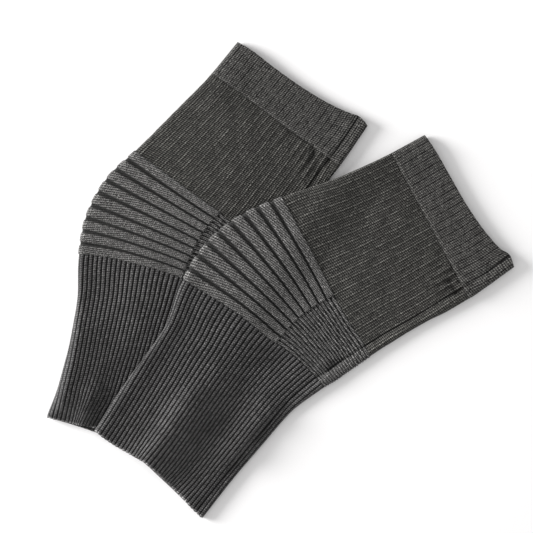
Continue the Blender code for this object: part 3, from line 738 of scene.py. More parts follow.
def rim_faces(outer, inner, picks, turned_over):
    """Triangles between an outer edge and an inner one that has only the picked points."""
    faces = []
    for k in range(len(picks) - 1):
        middle = (picks[k] + picks[k + 1]) // 2
        faces += [(outer[j], outer[j + 1], inner[k]) for j in range(picks[k], middle)]
        faces.append((outer[middle], inner[k + 1], inner[k]))
        faces += [(outer[j], outer[j + 1], inner[k + 1]) for j in range(middle, picks[k + 1])]
    return [face[::-1] for face in faces] if turned_over else faces


print("a grid of 3 by 3 points has", len(grid_faces(0, 3, 3, False)[0]), "faces")

# %% Shell of a piece
INNER_ROW_PICK = 4          # the plain inside has every fourth row and every sixth column
INNER_COLUMN_PICK = 6
# The inside of a tube is painted in full shade; its last two rows, at the cut edge, get less shade and then
# painted light.
CUT_EDGE_DARK = (0.6, -0.5)     # the inside is dark, but its last two rows belong to the light cut edge


def knit_shell(name, where, outer, places, painted_shade, material, total=0, shift=0.0):
    """A closed shell of knit. Total is the count all round a whole tube, and 0 for a part of one.

    Shift moves the inside towards the band, in millimetres, as the outside was moved.
    """
    rows, columns = outer.shape[:2]
    row_picks = sorted({*range(0, rows, INNER_ROW_PICK), rows - 2, rows - 1})
    column_picks = sorted({*range(0, columns, INNER_COLUMN_PICK), *([] if total else [columns - 1])})
    shift = np.broadcast_to(shift, (rows, columns))[np.ix_(row_picks, column_picks)]
    inner = where.pick(row_picks, column_picks).lay(shift=shift, inside=True)
    start = rows * columns
    quads, gone_round = grid_faces(0, rows, columns, bool(total))
    inner_quads, _ = grid_faces(start, *inner.shape[:2], bool(total))
    outer_ids = np.arange(start).reshape(rows, columns)
    inner_ids = start + np.arange(inner.shape[0] * inner.shape[1]).reshape(inner.shape[:2])
    round_picks = column_picks
    rim_ids = [outer_ids, inner_ids]
    if total:
        round_picks = column_picks + [columns]
        rim_ids = [np.concatenate([ids, ids[:, :1]], axis=1) for ids in rim_ids]
    triangles = rim_faces(rim_ids[0][0].tolist(), rim_ids[1][0].tolist(), round_picks, False)
    triangles += rim_faces(rim_ids[0][-1].tolist(), rim_ids[1][-1].tolist(), round_picks, True)
    if not total:
        triangles += rim_faces(outer_ids[:, 0].tolist(), inner_ids[:, 0].tolist(), row_picks, True)
        triangles += rim_faces(outer_ids[:, -1].tolist(), inner_ids[:, -1].tolist(), row_picks, False)

    mesh = bpy.data.meshes.new(name)
    points = np.concatenate([outer.reshape(-1, 3), inner.reshape(-1, 3)]) * MM
    mesh.from_pydata(points.tolist(), [], [*quads.tolist(), *inner_quads[:, ::-1].tolist(), *triangles])
    grid_places = np.broadcast_to(places, (rows, columns))
    u, v = [np.concatenate([grid.ravel(), grid[np.ix_(row_picks, column_picks)].ravel()])
            for grid in (grid_places, where.along)]
    corners = np.zeros(len(mesh.loops), dtype=int)
    mesh.loops.foreach_get("vertex_index", corners)
    knit_places = np.stack([u[corners], v[corners]], axis=-1)
    knit_places[:quads.size, 0] += gone_round.ravel() * total
    mesh.uv_layers.new(name="knit").data.foreach_set("uv", knit_places.ravel())
    inner_painted_shade = np.ones(inner_ids.shape)
    inner_painted_shade[-2:] = np.array(CUT_EDGE_DARK)[:, None]
    # Painted shade at each point: at 1 the colour goes all the way to its finish's shade colour, and below 0
    # it is painted light.
    painted_shades = np.concatenate([np.broadcast_to(painted_shade, (rows, columns)).ravel(), inner_painted_shade.ravel()])
    mesh.attributes.new("painted_shade", "FLOAT", "POINT").data.foreach_set("value", painted_shades.astype(np.float32))
    mesh.shade_smooth()
    mesh.materials.append(material)
    piece = bpy.data.objects.new(name, mesh)
    bpy.context.scene.collection.objects.link(piece)
    return piece


print("the inside has one point for", INNER_ROW_PICK * INNER_COLUMN_PICK, "outside")

# %% [markdown]
# ## The crease
# Beside the back edge of each warmer the upper layer ends in a sharp narrow crease, and the strip beyond it,
# where the tube folds under, lies a little lower. It runs the whole length, nearer to the edge at the hem.
# The strip catches more light than the rest, so the table gives the crease's depth on each warmer, which
# also sets the painted shade in the crease, and then how much painted light the strip gets. A crease could
# be cut into the mesh; a trough in its points keeps the shell closed and may wander and fade as the real
# one does.

# %% Crease
CREASE_COLUMNS = ("along", "upper", "lower", "light")
CREASE_ROWS = (
    (0.0, 0.9, 1.1, 0.04),
    (12.0, 0.9, 1.1, 0.04),
    (24.0, 0.5, 1.2, 0.05),
    (34.0, 0.3, 0.8, 0.07),
    (46.0, 1.0, 0.5, 0.16),
    (56.0, 1.0, 0.8, 0.18),
    (66.0, 0.6, 0.8, 0.18),
    (82.0, 1.1, 1.1, 0.18),
    (98.0, 0.9, 1.1, 0.2),
    (122.0, 1.2, 1.2, 0.22),
    (PANEL_START, 1.2, 1.2, 0.22),
    (149.0, 0.3, 0.4, 0.28),
    (160.0, 0.8, 0.8, 0.32),
    (172.0, 1.8, 1.8, 0.34),
    (188.0, 1.8, 1.8, 0.38),
    (196.0, 0.5, 0.5, 0.42),
    (206.0, 0.3, 0.3, 0.32),
    (PANEL_END, 1.0, 1.0, 0.2),
    (245.0, 1.2, 1.2, 0.16),
    (HEM, 0.9, 0.9, 0.14),
)
CREASE_HALF_WIDTH = 0.65
CREASE_WANDER = 0.4
STRIP_DROP = 0.35
STRIP_EDGE, STRIP_SOFTNESS = 0.3, 2.0       # how early and how softly the strip sets in
LIP_RISE = 0.3              # the upper layer is lifted a little beside the crease
LIP_WIDTH = 3.0
SUNK_DARK = 0.35            # how far a short sharp hollow loses its light


def crease_relief(where):
    """How the crease changes the relief, in millimetres, and its painted shade and light, from 0 to 1."""
    inset = read(INNER_COLUMNS, INNER_ROWS, "crease inset", where.along)
    depth = read(CREASE_COLUMNS, CREASE_ROWS, where.lie.name, where.along)
    wander = CREASE_WANDER * ripple(where.along, 0.0, length=50.0, seed=3)
    from_crease = (1.0 - where.across) * where.width - inset - wander
    on_top = where.up > FLAT_TOP
    trough = np.exp(-(from_crease / CREASE_HALF_WIDTH) ** 2) * on_top
    strip = ease(STRIP_EDGE - from_crease / STRIP_SOFTNESS) * np.where(on_top, 1.0, (1.0 + where.up) / 2)
    lip = np.exp(-((from_crease - LIP_WIDTH) / LIP_WIDTH) ** 2) * on_top
    sunk = -gathers(where.lie.short_folds, where.width, where.along, where.across) * on_top
    light = read(CREASE_COLUMNS, CREASE_ROWS, "light", where.along) * strip * on_top
    # Painted shade in the crease and in the short hollows, less painted light on the strip beyond the crease.
    dark = trough * depth + SUNK_DARK * np.clip(sunk, 0.0, 1.0) - light
    return LIP_RISE * lip - depth * trough - STRIP_DROP * strip * (where.out >= 0.0), dark


print(f"the crease is up to {max(row[1] for row in CREASE_ROWS)} mm deep")

# %% [markdown]
# ## Finishes
# The yarn is a wool and acrylic blend, dyed charcoal: matt, with a soft halo of loose fibre that brightens
# where the cloth turns away from the eye. Light and dark fibres are spun together, so the colour is
# mottled. Light hardly reaches the hollows between the ribs, and the shader paints shade into them, darker
# than the rendered depth alone makes them, because the real hollows are deeper.
#
# A column of stitches is one wale. There are tens of thousands, far too many and too small to model, so
# colour and bump draw them. Each shows as one slanted dash: the leg of its V that faces the low light, in
# painted light, beside the other leg and the gaps between stitches in painted shade. The real stitches are
# about 1.5 mm high, and a pixel of the photo covers 0.84 mm, so as fine as that they would blur away; they
# are drawn 1.6 to 1.9 mm high. They are counted on the knit's own places: columns for each rib round the
# tube, and courses down it. The fibres' noise pushes them up and down a little, so that they line up no
# better than real ones.

# %% Stitches
SLANT = 0.6                 # how far a stitch climbs across its column, in courses
STEP = 0.25                 # how much higher the next column's stitches stand, in courses
LOOSENESS = 1.1             # how far the fibres' noise pushes stitches up and down, in courses
LEG_START, LEG_END = 0.28, 0.5      # a stitch fades out between these distances from its column's middle
LEG_EDGE = 0.35             # and this much of it is left at the column's edge


def draw_stitches(tree, fibre, columns, course, shift):
    """Nodes that draw one slanted dash for each stitch. Gives how much of it shows, and its two numbers."""
    knit = add_node(tree, "ShaderNodeUVMap", {"uv_map": "knit"})
    place = add_node(tree, "ShaderNodeSeparateXYZ", Vector=knit.outputs["UV"])
    column = add_node(tree, "ShaderNodeMath", {"operation": "MULTIPLY_ADD"}, _0=place.outputs["X"],
                      _1=columns, _2=shift)
    within = add_node(tree, "ShaderNodeMath", {"operation": "FRACT"}, _0=column.outputs[0])
    centred = add_node(tree, "ShaderNodeMath", {"operation": "SUBTRACT"}, _0=within.outputs[0], _1=0.5)
    leg = add_node(tree, "ShaderNodeMath", {"operation": "ABSOLUTE"}, _0=centred.outputs[0])
    column_number = add_node(tree, "ShaderNodeMath", {"operation": "FLOOR"}, _0=column.outputs[0])
    course_number = add_node(tree, "ShaderNodeMath", {"operation": "DIVIDE"}, _0=place.outputs["Y"],
                             _1=course)
    level = add_node(tree, "ShaderNodeMath", {"operation": "MULTIPLY_ADD"}, _0=column_number.outputs[0],
                     _1=STEP, _2=course_number.outputs[0])
    row = add_node(tree, "ShaderNodeMath", {"operation": "MULTIPLY_ADD"}, _0=fibre.outputs["Fac"],
                   _1=LOOSENESS, _2=level.outputs[0])
    slant = add_node(tree, "ShaderNodeMath", {"operation": "MULTIPLY_ADD"}, _0=centred.outputs[0],
                     _1=SLANT, _2=row.outputs[0])
    turn = add_node(tree, "ShaderNodeMath", {"operation": "MULTIPLY"}, _0=slant.outputs[0], _1=2 * math.pi)
    wave = add_node(tree, "ShaderNodeMath", {"operation": "COSINE"}, _0=turn.outputs[0])
    strand = add_node(tree, "ShaderNodeMapRange", Value=wave.outputs[0], From_Min=-1.0, From_Max=1.0,
                      To_Min=0.0, To_Max=1.0)
    side = add_node(tree, "ShaderNodeMapRange", {"interpolation_type": "SMOOTHSTEP"},
                    Value=leg.outputs[0], From_Min=LEG_START, From_Max=LEG_END, To_Min=1.0, To_Max=LEG_EDGE)
    stitch = add_node(tree, "ShaderNodeMath", {"operation": "MULTIPLY"}, _0=strand.outputs[0],
                      _1=side.outputs[0])
    row_number = add_node(tree, "ShaderNodeMath", {"operation": "ROUND"}, _0=slant.outputs[0])
    number = add_node(tree, "ShaderNodeCombineXYZ", X=column_number.outputs[0], Y=row_number.outputs[0])
    return stitch, number


print(f"a stitch climbs {SLANT} of its height across its column")

# %% Knit material
COURSE = 1.75               # a stitch's height in millimetres, drawn coarser than the real 1.5
FLECK_SCALE = 1100.0        # flecks of light and dark fibre, just under a millimetre across
FLECK_LOW, FLECK_HIGH = 0.35, 0.65  # most of that noise lies between these
CLOUD_SCALE = 28.0          # faint cloudy patches, about 35 mm across
CLOUD_LOW, CLOUD_HIGH = 0.3, 0.7
CLOUD_DEPTH = 0.06
# The stitches' gaps are painted shade and their crowns painted highlight; these say how much.
DARKEST, LIGHTEST = 0.8, 1.3        # how far a stitch's gaps and crown leave its mean, for a depth of 1
FIBRE_BUMP = 1.2            # the fibres' own relief, as a part of a stitch's
YARN_ROUGHNESS = 0.95       # wool scatters light, with hardly any gloss
YARN_SPECULAR = 0.15
HALO_WEIGHT = 0.1           # the loose fibres' soft sheen at grazing angles
HALO_ROUGHNESS = 0.5


def knit_material(name, light, dark, columns, course=COURSE, shift=0.0, depth=1.35, mottle=0.4,
                  heather=0.3, bump=0.5):
    """A knit yarn finish, with so many stitch columns for each count round.

    Course is a stitch's height and bump its relief, in millimetres. Shift moves the columns. Depth is how
    strongly the stitches' painted light and shade show, mottle how strongly the fibres do, and heather how
    unlike stitches are.
    """
    made, tree, shader = new_material(name)
    where = add_node(tree, "ShaderNodeTexCoord")
    fibre = add_node(tree, "ShaderNodeTexNoise", Vector=where.outputs["Object"], Scale=FLECK_SCALE,
                     Detail=1.0, Roughness=0.5)
    stitch, number = draw_stitches(tree, fibre, columns, course, shift)
    lot = add_node(tree, "ShaderNodeTexWhiteNoise", {"noise_dimensions": "2D"},
                   Vector=number.outputs["Vector"])
    patch = add_node(tree, "ShaderNodeTexNoise", Vector=where.outputs["Object"], Scale=CLOUD_SCALE,
                     Detail=2.0)
    painted_shade = add_node(tree, "ShaderNodeAttribute", {"attribute_name": "painted_shade"})

    # The mesh's painted shade takes light from the colour, and where it is below 0 it adds painted light.
    unshaded = add_node(tree, "ShaderNodeMath", {"operation": "SUBTRACT"}, _0=1.0, _1=painted_shade.outputs["Fac"])
    # Each stitch in painted light and shade: its lit leg lighter, its gaps darker.
    lit = add_node(tree, "ShaderNodeMapRange", {"clamp": False}, Value=stitch.outputs[0], From_Min=0.0,
                   From_Max=1.0, To_Min=1.0 - DARKEST * depth, To_Max=1.0 + LIGHTEST * depth)
    drawn = add_node(tree, "ShaderNodeMapRange", {"clamp": False}, Value=lot.outputs["Value"],
                     From_Min=0.0, From_Max=1.0, To_Min=1.0 - heather, To_Max=1.0 + heather)
    fleck = add_node(tree, "ShaderNodeMapRange", {"clamp": False}, Value=fibre.outputs["Fac"],
                     From_Min=FLECK_LOW, From_Max=FLECK_HIGH, To_Min=1.0 - mottle, To_Max=1.0 + mottle)
    cloud = add_node(tree, "ShaderNodeMapRange", Value=patch.outputs["Fac"], From_Min=CLOUD_LOW,
                     From_Max=CLOUD_HIGH, To_Min=1.0 - CLOUD_DEPTH, To_Max=1.0 + CLOUD_DEPTH)
    tone = unshaded
    for part in (lit, drawn, fleck, cloud):
        tone = add_node(tree, "ShaderNodeMath", {"operation": "MULTIPLY"}, _0=tone.outputs[0],
                        _1=part.outputs[0])
    bright = add_node(tree, "ShaderNodeMath", {"operation": "MAXIMUM"}, _0=tone.outputs[0], _1=0.0)
    colour = add_node(tree, "ShaderNodeMix", {"data_type": "RGBA", "clamp_factor": False},
                      _0=bright.outputs[0], _6=linear(dark), _7=linear(light))
    tree.links.new(colour.outputs[2], shader.inputs["Base Color"])

    height = add_node(tree, "ShaderNodeMath", {"operation": "MULTIPLY_ADD"}, _0=fibre.outputs["Fac"],
                      _1=FIBRE_BUMP, _2=stitch.outputs[0])
    raised_stitch = add_node(tree, "ShaderNodeBump", Strength=1.0, Distance=bump * MM,
                             Height=height.outputs[0])
    tree.links.new(raised_stitch.outputs["Normal"], shader.inputs["Normal"])
    shader.inputs["Roughness"].default_value = YARN_ROUGHNESS
    shader.inputs["Specular IOR Level"].default_value = YARN_SPECULAR
    shader.inputs["Sheen Weight"].default_value = HALO_WEIGHT
    shader.inputs["Sheen Roughness"].default_value = HALO_ROUGHNESS
    return made


print(f"most stitches are drawn {COURSE} mm high")

# %% [markdown]
# The five zones are knitted from the same yarn with different stitches, and that alone makes some lighter.
# One material could tell them apart by a mask, but five from one function show side by side how they differ:
# in the colours of the knit's crowns and of the painted shade in its hollows, in the stitch columns for each
# count round, and in the numbers that the function explains.

# %% Knit finishes
# The second colour of each finish is its painted shade colour, reached in the deepest grooves and gaps.
# The doubled band: close, even stitches, which the eye takes for a dense flat charcoal.
BAND_KNIT = knit_material("knit_wool_blend_band", "#4A4947", "#0C0B0B", 3, depth=1.4, heather=0.1)
# The thigh: a little looser, with deeper gaps between its stitches, painted as stronger shade, so it looks
# darker.
THIGH_KNIT = knit_material("knit_wool_blend_thigh", "#4C4B48", "#0E0D0C", 3, shift=0.5, depth=1.6,
                           heather=0.12)
# The ridges: padded out, so that only the fronts of their stitches show, as the lightest, grainiest grey.
RIDGE_KNIT = knit_material("knit_wool_blend_ridges", "#555453", "#181817", 1.15, course=1.6, depth=1.7,
                           mottle=0.5, heather=0.12)
# Behind the knee: pale tops beside grooves painted in nearly black shade, which read as crisp fine stripes.
BACK_KNIT = knit_material("knit_wool_blend_back", "#5B5A59", "#020202", 1, course=1.9, heather=0.15)
# The calf: the same stripes, but softer, because its stitches stand out less from one another.
CALF_KNIT = knit_material("knit_wool_blend_calf", "#515050", "#020202", 2, depth=1.0, heather=0.2)
print("finishes:", [knit.name for knit in (BAND_KNIT, THIGH_KNIT, RIDGE_KNIT, BACK_KNIT, CALF_KNIT)])

# %% [markdown]
# ## The calf
# A one-and-one rib: each rib is a flat-topped roll two stitches wide, and the purl stitches between the
# ribs sink into narrow dark grooves. It ends in a raw edge, where the ribs' ends stand out a little and the
# upper layer stops short of the under one. A displacement could raise the ribs from a plain tube, but only
# on a far finer grid. Here the columns of points run along the ribs, so that eight to a rib are enough.

# %% Rib shape
RIB_DENT = 0.10             # the two stitches of a rib part a little in its middle
RIB_DENT_WIDTH = 0.22


def rib(place, plateau=0.38, groove=0.84):
    """A flat-topped rib between whole counts, 0 in its grooves and 1 on its top, dented in its middle."""
    away = 2 * np.abs(place % 1.0 - 0.5)
    top = 1.0 - ease((away - plateau) / (groove - plateau))
    return top - RIB_DENT * np.exp(-(away / RIB_DENT_WIDTH) ** 2)


print("a rib's height from its groove to its top:", rib(np.linspace(0.0, 0.5, 5)).round(2))

# %% Calf
CALF_RIB_RISE = 0.95
CALF_RIB_SPACING = 3.3
CALF_ROW = 1.0              # millimetres between rows of points
CALF_UNEVEN = 0.12          # how unevenly tall the ribs are, and how far they sway, in ribs
CALF_SWAY = 0.015
HEM_SCALLOP = 0.6           # how far the ribs' ends stand out at the hem
SCALLOP_RUN = 2.0
SCALLOP_LEVEL = 0.6         # a rib's flanks draw back from here down
HEM_LIGHT = 1.4             # the cut ends of the yarn are fuzzy and catch the light
HEM_HIGHLIGHT_START = 2.2            # from this far above the hem, and fully after the next length
HEM_HIGHLIGHT_RUN = 1.2
HEM_HIGHLIGHT_UNEVEN = 0.5
SETBACK_RUN = 18.0          # the upper layer's hem draws back over this length
RIB_SAMPLES = (0.0, 0.07, 0.16, 0.3, 0.5, 0.7, 0.84, 0.93)


def towards_hem(along, start, run):
    """0 until a start above the hem, then a soft step to 1 over the run."""
    return ease((along - HEM + start) / run)


def make_calf(lie):
    """The ribbed calf of one warmer."""
    places = count_places(-6, 38, CALF_RIBS, RIB_SAMPLES, (0.0, 0.25, 0.5, 0.75))
    along = np.linspace(PANEL_END, HEM, int((HEM - PANEL_END) / CALF_ROW) + 1)
    arc = knit_distances(lie, along, places, RIB_COLUMNS, lie.ribs, CALF_RIBS, WALL)
    where = Round(lie, along[:, None], arc, WALL)
    round_it = places * CALF_RIB_SPACING
    tallness = 1.0 + CALF_UNEVEN * ripple(where.along, round_it, length=30.0, seed=12)
    sway = CALF_SWAY * ripple(where.along, round_it, length=25.0, seed=13)
    shape = np.minimum(rib(places + sway) * tallness, 1.0)
    crease, dark = crease_relief(where)
    setback = read(HEM_COLUMNS, HEM_ROWS, f"{lie.name} setback", where.across)
    shift = towards_hem(where.along, SETBACK_RUN, SETBACK_RUN) * setback * (1.0 + where.up) / 2
    at_hem = towards_hem(where.along, SCALLOP_RUN, SCALLOP_RUN)
    scalloped = shift - at_hem * HEM_SCALLOP * (shape - SCALLOP_LEVEL) * (where.up > 0.0)
    outer = where.lay(CALF_RIB_RISE * shape + crease, CALF_RIB_RISE, shift=scalloped)
    hem_highlight = towards_hem(where.along, HEM_HIGHLIGHT_START, HEM_HIGHLIGHT_RUN)
    hem_highlight = hem_highlight * (1.0 + HEM_HIGHLIGHT_UNEVEN * ripple(round_it, 0.0, length=20.0, seed=14))
    # Painted shade in the grooves between ribs and in the crease, less a painted highlight on the cut ends at
    # the hem.
    painted_shade = np.clip(1.0 - shape + dark, -1.0, 1.0) - HEM_LIGHT * hem_highlight
    return knit_shell(f"{lie.name}_calf_knit", where, outer, places, painted_shade, CALF_KNIT, CALF_RIBS, shift)


print(f"the calf's ribs stand {CALF_RIB_RISE} mm high, with {len(RIB_SAMPLES)} points across each")

# %% [markdown]
# ## The thigh
# A finer, flatter knit: one raised wale, then two low ones, over and over. The raised wales catch the light
# as thin pale lines. Bump alone could draw so low a relief, but the lines would not break its edges or bend
# where the chain of the band gathers them, so the wales are real.

# %% Wale shape
RAISED_WIDTH, LOW_WIDTH = 0.09, 0.10        # the wales' half widths, in repeats
LOW_WALES = ((0.34, 0.55), (0.66, 0.60))    # where they stand between raised ones, and how tall


def wales(place):
    """Raised and low wales, 0 in the hollows and 1 on the raised ones."""
    within = place % 1.0
    total = np.exp(-(np.minimum(within, 1.0 - within) / RAISED_WIDTH) ** 2)
    for middle, height in LOW_WALES:
        total = total + height * np.exp(-((within - middle) / LOW_WIDTH) ** 2)
    return total


print("the wales' heights over one repeat:", wales(np.linspace(0.0, 1.0, 7)).round(2))

# %% Thigh
THIGH_WALE_RISE = 0.7
THIGH_ROW = 1.0             # millimetres between rows of points
REPEAT_SPACING = 6.0
THIGH_UNEVEN = 0.2          # how unevenly tall the wales are, and how far they sway, in repeats
THIGH_SWAY = 0.02
BRIGHT_WALE = 0.13          # a raised wale's crown catches more light, over this half width
BRIGHT_WIDTH = 0.08
THIGH_HOLLOW = 0.75         # its shallow hollows lose only a part of their light
GATHER_HOLLOW = 0.1         # and a little more where the chain bunches the knit
GATHER_MIDDLE = 48.0        # the chain bunches the wales near the back edge, about here
GATHER_LENGTH = 14.0
GATHER_FROM = 0.62
GATHER_SOFTNESS = 0.2
GATHER_RISE = 0.35
BUNCH_WIDTH = 0.22
WALE_SAMPLES = (0.0, 0.06, 0.12, 0.2, 0.28, 0.36, 0.44, 0.52, 0.6, 0.68, 0.76, 0.84, 0.92)


def from_wale(places):
    """How far places are from the nearest raised wale, in repeats."""
    return (places + 0.5) % 1.0 - 0.5


def make_thigh(lie):
    """The thigh of one warmer."""
    places = count_places(-4, 22, REPEATS, WALE_SAMPLES, (0.0, 0.2, 0.4, 0.6, 0.8))
    along = np.linspace(BAND_END, PANEL_START, int((PANEL_START - BAND_END) / THIGH_ROW) + 1)
    arc = knit_distances(lie, along, places, REPEAT_COLUMNS, lie.repeats, REPEATS, WALL)
    where = Round(lie, along[:, None], arc, WALL)
    round_it = places * REPEAT_SPACING
    sway = THIGH_SWAY * ripple(where.along, round_it, length=20.0, seed=21)
    tallness = 1.0 + THIGH_UNEVEN * ripple(where.along, round_it, length=22.0, seed=22)
    shape = np.clip(wales(places + sway) * tallness, 0.0, 1.0)
    crease, dark = crease_relief(where)
    near_chain = np.exp(-((where.along - GATHER_MIDDLE) / GATHER_LENGTH) ** 2)
    gathered = near_chain * ease((where.across - GATHER_FROM) / GATHER_SOFTNESS) * (where.up > FLAT_TOP)
    bunched = GATHER_RISE * gathered * np.exp(-(from_wale(places) / BUNCH_WIDTH) ** 2)
    outer = where.lay(THIGH_WALE_RISE * shape + bunched + crease, THIGH_WALE_RISE)
    # Painted shade in the hollows between wales, a little more where the chain bunches them, and a painted
    # highlight on each raised wale's crown.
    bright_wale = BRIGHT_WALE * np.exp(-(from_wale(places + sway) / BRIGHT_WIDTH) ** 2)
    darkening = THIGH_HOLLOW + GATHER_HOLLOW * gathered
    painted_shade = np.clip(darkening * (1.0 - shape) + dark, -1.0, 1.0) - bright_wale
    return knit_shell(f"{lie.name}_thigh_knit", where, outer, places, painted_shade, THIGH_KNIT, REPEATS)


print(f"the thigh's raised wales stand {THIGH_WALE_RISE} mm high, with {len(WALE_SAMPLES)} points a repeat")

# %% [markdown]
# ## The knee ridges
# Nine padded ridges run across the knee and round its side. Between them the knit is drawn in, and the
# grooves, wide at the knee side and narrow where the ridges end, are painted dark with shade. Each ridge
# could be a roll of its own, but the real ones are one knit, so rows of points bunch at each ridge's flanks
# and one shell holds all.

# %% Rows of points down the ridges
KNEE_RIDGES = 9
GROOVE_AT_EDGE = 0.034      # a groove's width at the knee side, as a part of the panel's length
GROOVE_INSIDE = 0.020
RIDGE_PARTS = (0.0, 0.025, 0.06, 0.10, 0.16, 0.25, 0.38, 0.5, 0.62, 0.75, 0.84, 0.90, 0.94, 0.975, 1.0)
GROOVE_PARTS = (0.25, 0.5, 0.75)
GROOVE_SINK = 0.25          # how far a groove sinks below the plain form, as a part of the rise
SQUARENESS = 6              # the higher, the flatter a ridge's top and the steeper its flanks


def ridge_rows():
    """Each row as (ridge, part of the ridge's width, part of the groove after it, level)."""
    rows = []
    for ridge in range(KNEE_RIDGES):
        for part in RIDGE_PARTS:
            rows.append((ridge, part, 0.0, math.sqrt(1.0 - abs(2 * part - 1) ** SQUARENESS)))
        if ridge < KNEE_RIDGES - 1:
            rows += [(ridge, 1.0, part, -GROOVE_SINK * math.sin(math.pi * part)) for part in GROOVE_PARTS]
    return np.array(rows)


print(len(ridge_rows()), "rows of points down the", KNEE_RIDGES, "ridges")

# %% Places on the knee panel
def panel_distances(lie, along, places, counts, part):
    """How far round the tube the places of one part of the knee panel lie."""
    top, edge = Round.spans(lie, along, WALL)
    split = read(INNER_COLUMNS, INNER_ROWS, "split", along)
    to_split = split * lie.width(along) - thickness(WALL) / 2 * EDGE_ROUND
    if part == "knee":
        ends = (-edge - to_split, -edge, 0.0, to_split)
    else:
        ends = (to_split, top, top + edge, 2 * top + edge - to_split)
    passed = np.interp(places, counts, (0, 1, 2, 3))
    distance = ends[0]
    for k in range(3):
        distance = distance + np.clip(passed - k, 0.0, 1.0) * (ends[k + 1] - ends[k])
    return distance


corners = panel_distances(upper, PANEL_START, np.arange(4), (0, 1, 2, 3), "knee")
print("on the upper warmer the first ridge starts, turns and ends at", corners.round(1), "mm round the tube")

# %% Knee ridges
RIDGE_WALES = 50            # stitch columns along a ridge, on one face
RIDGE_EDGE_WALES = 5
RIDGE_WALE_SPACING = 1.5
RIDGE_UNEVEN = 0.06         # how unevenly tall the ridges are, and how lumpy each stitch makes them
RIDGE_LUMPS = 0.04
DEEPEST = 0.3               # no groove sinks further than this part of the rise
EDGE_FLATTEN = 0.4          # the ridges are stretched flatter where they turn round the knee edge
BEAD_LIGHT = 0.14           # a lighter line of stitches runs along each shoulder of a ridge
BEAD_PLACE, BEAD_WIDTH = 0.74, 0.12
OUTER_GROOVE_DARK = 0.85    # the grooves are a little less dark where they are wide


def make_knee_ridges(lie):
    """The padded ridges of one warmer's knee."""
    counts = (-RIDGE_WALES - RIDGE_EDGE_WALES, -RIDGE_EDGE_WALES, 0, RIDGE_WALES)
    places = np.concatenate([np.arange(counts[0], counts[1], 2.0), np.arange(counts[1], counts[3], 0.5),
                             [counts[3]]])
    ridge, part, between, level = ridge_rows().T[..., None]
    inwards = np.clip(np.maximum(places, counts[1] - places) / RIDGE_WALES, 0.0, 1.0)
    groove = GROOVE_AT_EDGE + (GROOVE_INSIDE - GROOVE_AT_EDGE) * np.sqrt(inwards)
    width = (1 - groove * (KNEE_RIDGES - 1)) / KNEE_RIDGES
    down = (width + groove) * ridge + width * part + groove * between
    along = PANEL_START + (PANEL_END - PANEL_START) * down
    where = Round(lie, along, panel_distances(lie, along, places, counts, "knee"), WALL)
    round_it = places * RIDGE_WALE_SPACING
    uneven = 1.0 + RIDGE_UNEVEN * ripple(where.along, round_it, length=24.0, seed=31)
    lumps = RIDGE_LUMPS * ripple(where.along, round_it, length=3.5, seed=32) * (level > 0.5)
    shape = np.clip(level * uneven + lumps, -DEEPEST, 1.0)
    shape = np.maximum(shape, -DEEPEST * (where.up > UNDERSIDE))
    relief = RIDGE_RISE * shape * (1.0 - EDGE_FLATTEN * np.abs(where.out))
    outer = where.lay(relief, RIDGE_RISE, swell=1.0)
    # Painted shade in the grooves, a little less where they are wide, and a lighter line along each shoulder.
    beads = BEAD_LIGHT * np.exp(-((np.abs(2 * part - 1) - BEAD_PLACE) / BEAD_WIDTH) ** 2) * (between == 0.0)
    darkening = OUTER_GROOVE_DARK + (1.0 - OUTER_GROOVE_DARK) * inwards
    painted_shade = np.clip(1.0 - level, 0.0, 1.0) * darkening - beads
    return knit_shell(f"{lie.name}_knee_ridges_knit", where, outer, places, painted_shade, RIDGE_KNIT)


print(f"a ridge is about {(PANEL_END - PANEL_START) / KNEE_RIDGES:.1f} mm wide with its groove")

# %% [markdown]
# ## Behind the knee
# Nineteen fine ribs carry on from the ridges, across the leg and round the back edge, where the knit is
# tightest. They are the ridges' own courses, with no padding, and they fan out towards the calf. They could
# share the ridges' shell, but they are a stitch of their own, as fine as the calf's ribs, and so a piece of
# their own.

# %% Knee back
BACK_RIBS = 19
BACK_RIB_RISE = 0.6
BACK_WALES = 32             # stitch columns along a rib, on one face
BACK_EDGE_WALES = 6
BACK_WALE_SPACING = 1.4
BACK_LUMPS = 0.16           # how unevenly tall the ribs are


def make_knee_back(lie):
    """The fine cross ribs behind one warmer's knee."""
    counts = (0, BACK_WALES, BACK_WALES + BACK_EDGE_WALES, 2 * BACK_WALES + BACK_EDGE_WALES)
    places = np.concatenate([np.arange(0, counts[2], 0.5), np.arange(counts[2], counts[3] + 1, 1.0)])
    place = np.array([k + s for k in range(BACK_RIBS) for s in RIB_SAMPLES] + [BACK_RIBS])[:, None]
    even = PANEL_START + (PANEL_END - PANEL_START) * place / BACK_RIBS + np.zeros_like(places)
    even_where = Round(lie, even, panel_distances(lie, even, places, counts, "back"), WALL)
    fan = read(FAN_COLUMNS, FAN_ROWS, "fan", even_where.across) * np.sin(math.pi * place / BACK_RIBS) ** 2
    along = even - (PANEL_END - PANEL_START) * fan
    where = Round(lie, along, panel_distances(lie, along, places, counts, "back"), WALL)
    lumps = BACK_LUMPS * ripple(where.along, places * BACK_WALE_SPACING, length=5.0, seed=41)
    shape = np.clip(rib(place, plateau=0.32, groove=0.90) * (1.0 + lumps), 0.0, 1.0)
    crease, dark = crease_relief(where)
    outer = where.lay(BACK_RIB_RISE * shape + crease, BACK_RIB_RISE, swell=0.5)
    # Painted shade in the grooves between ribs and in the crease.
    painted_shade = np.clip(1.0 - shape + dark, -1.0, 1.0)
    return knit_shell(f"{lie.name}_knee_back_knit", where, outer, places, painted_shade, BACK_KNIT)


print(f"{BACK_RIBS} ribs behind the knee, {(PANEL_END - PANEL_START) / BACK_RIBS:.1f} mm apart on average")

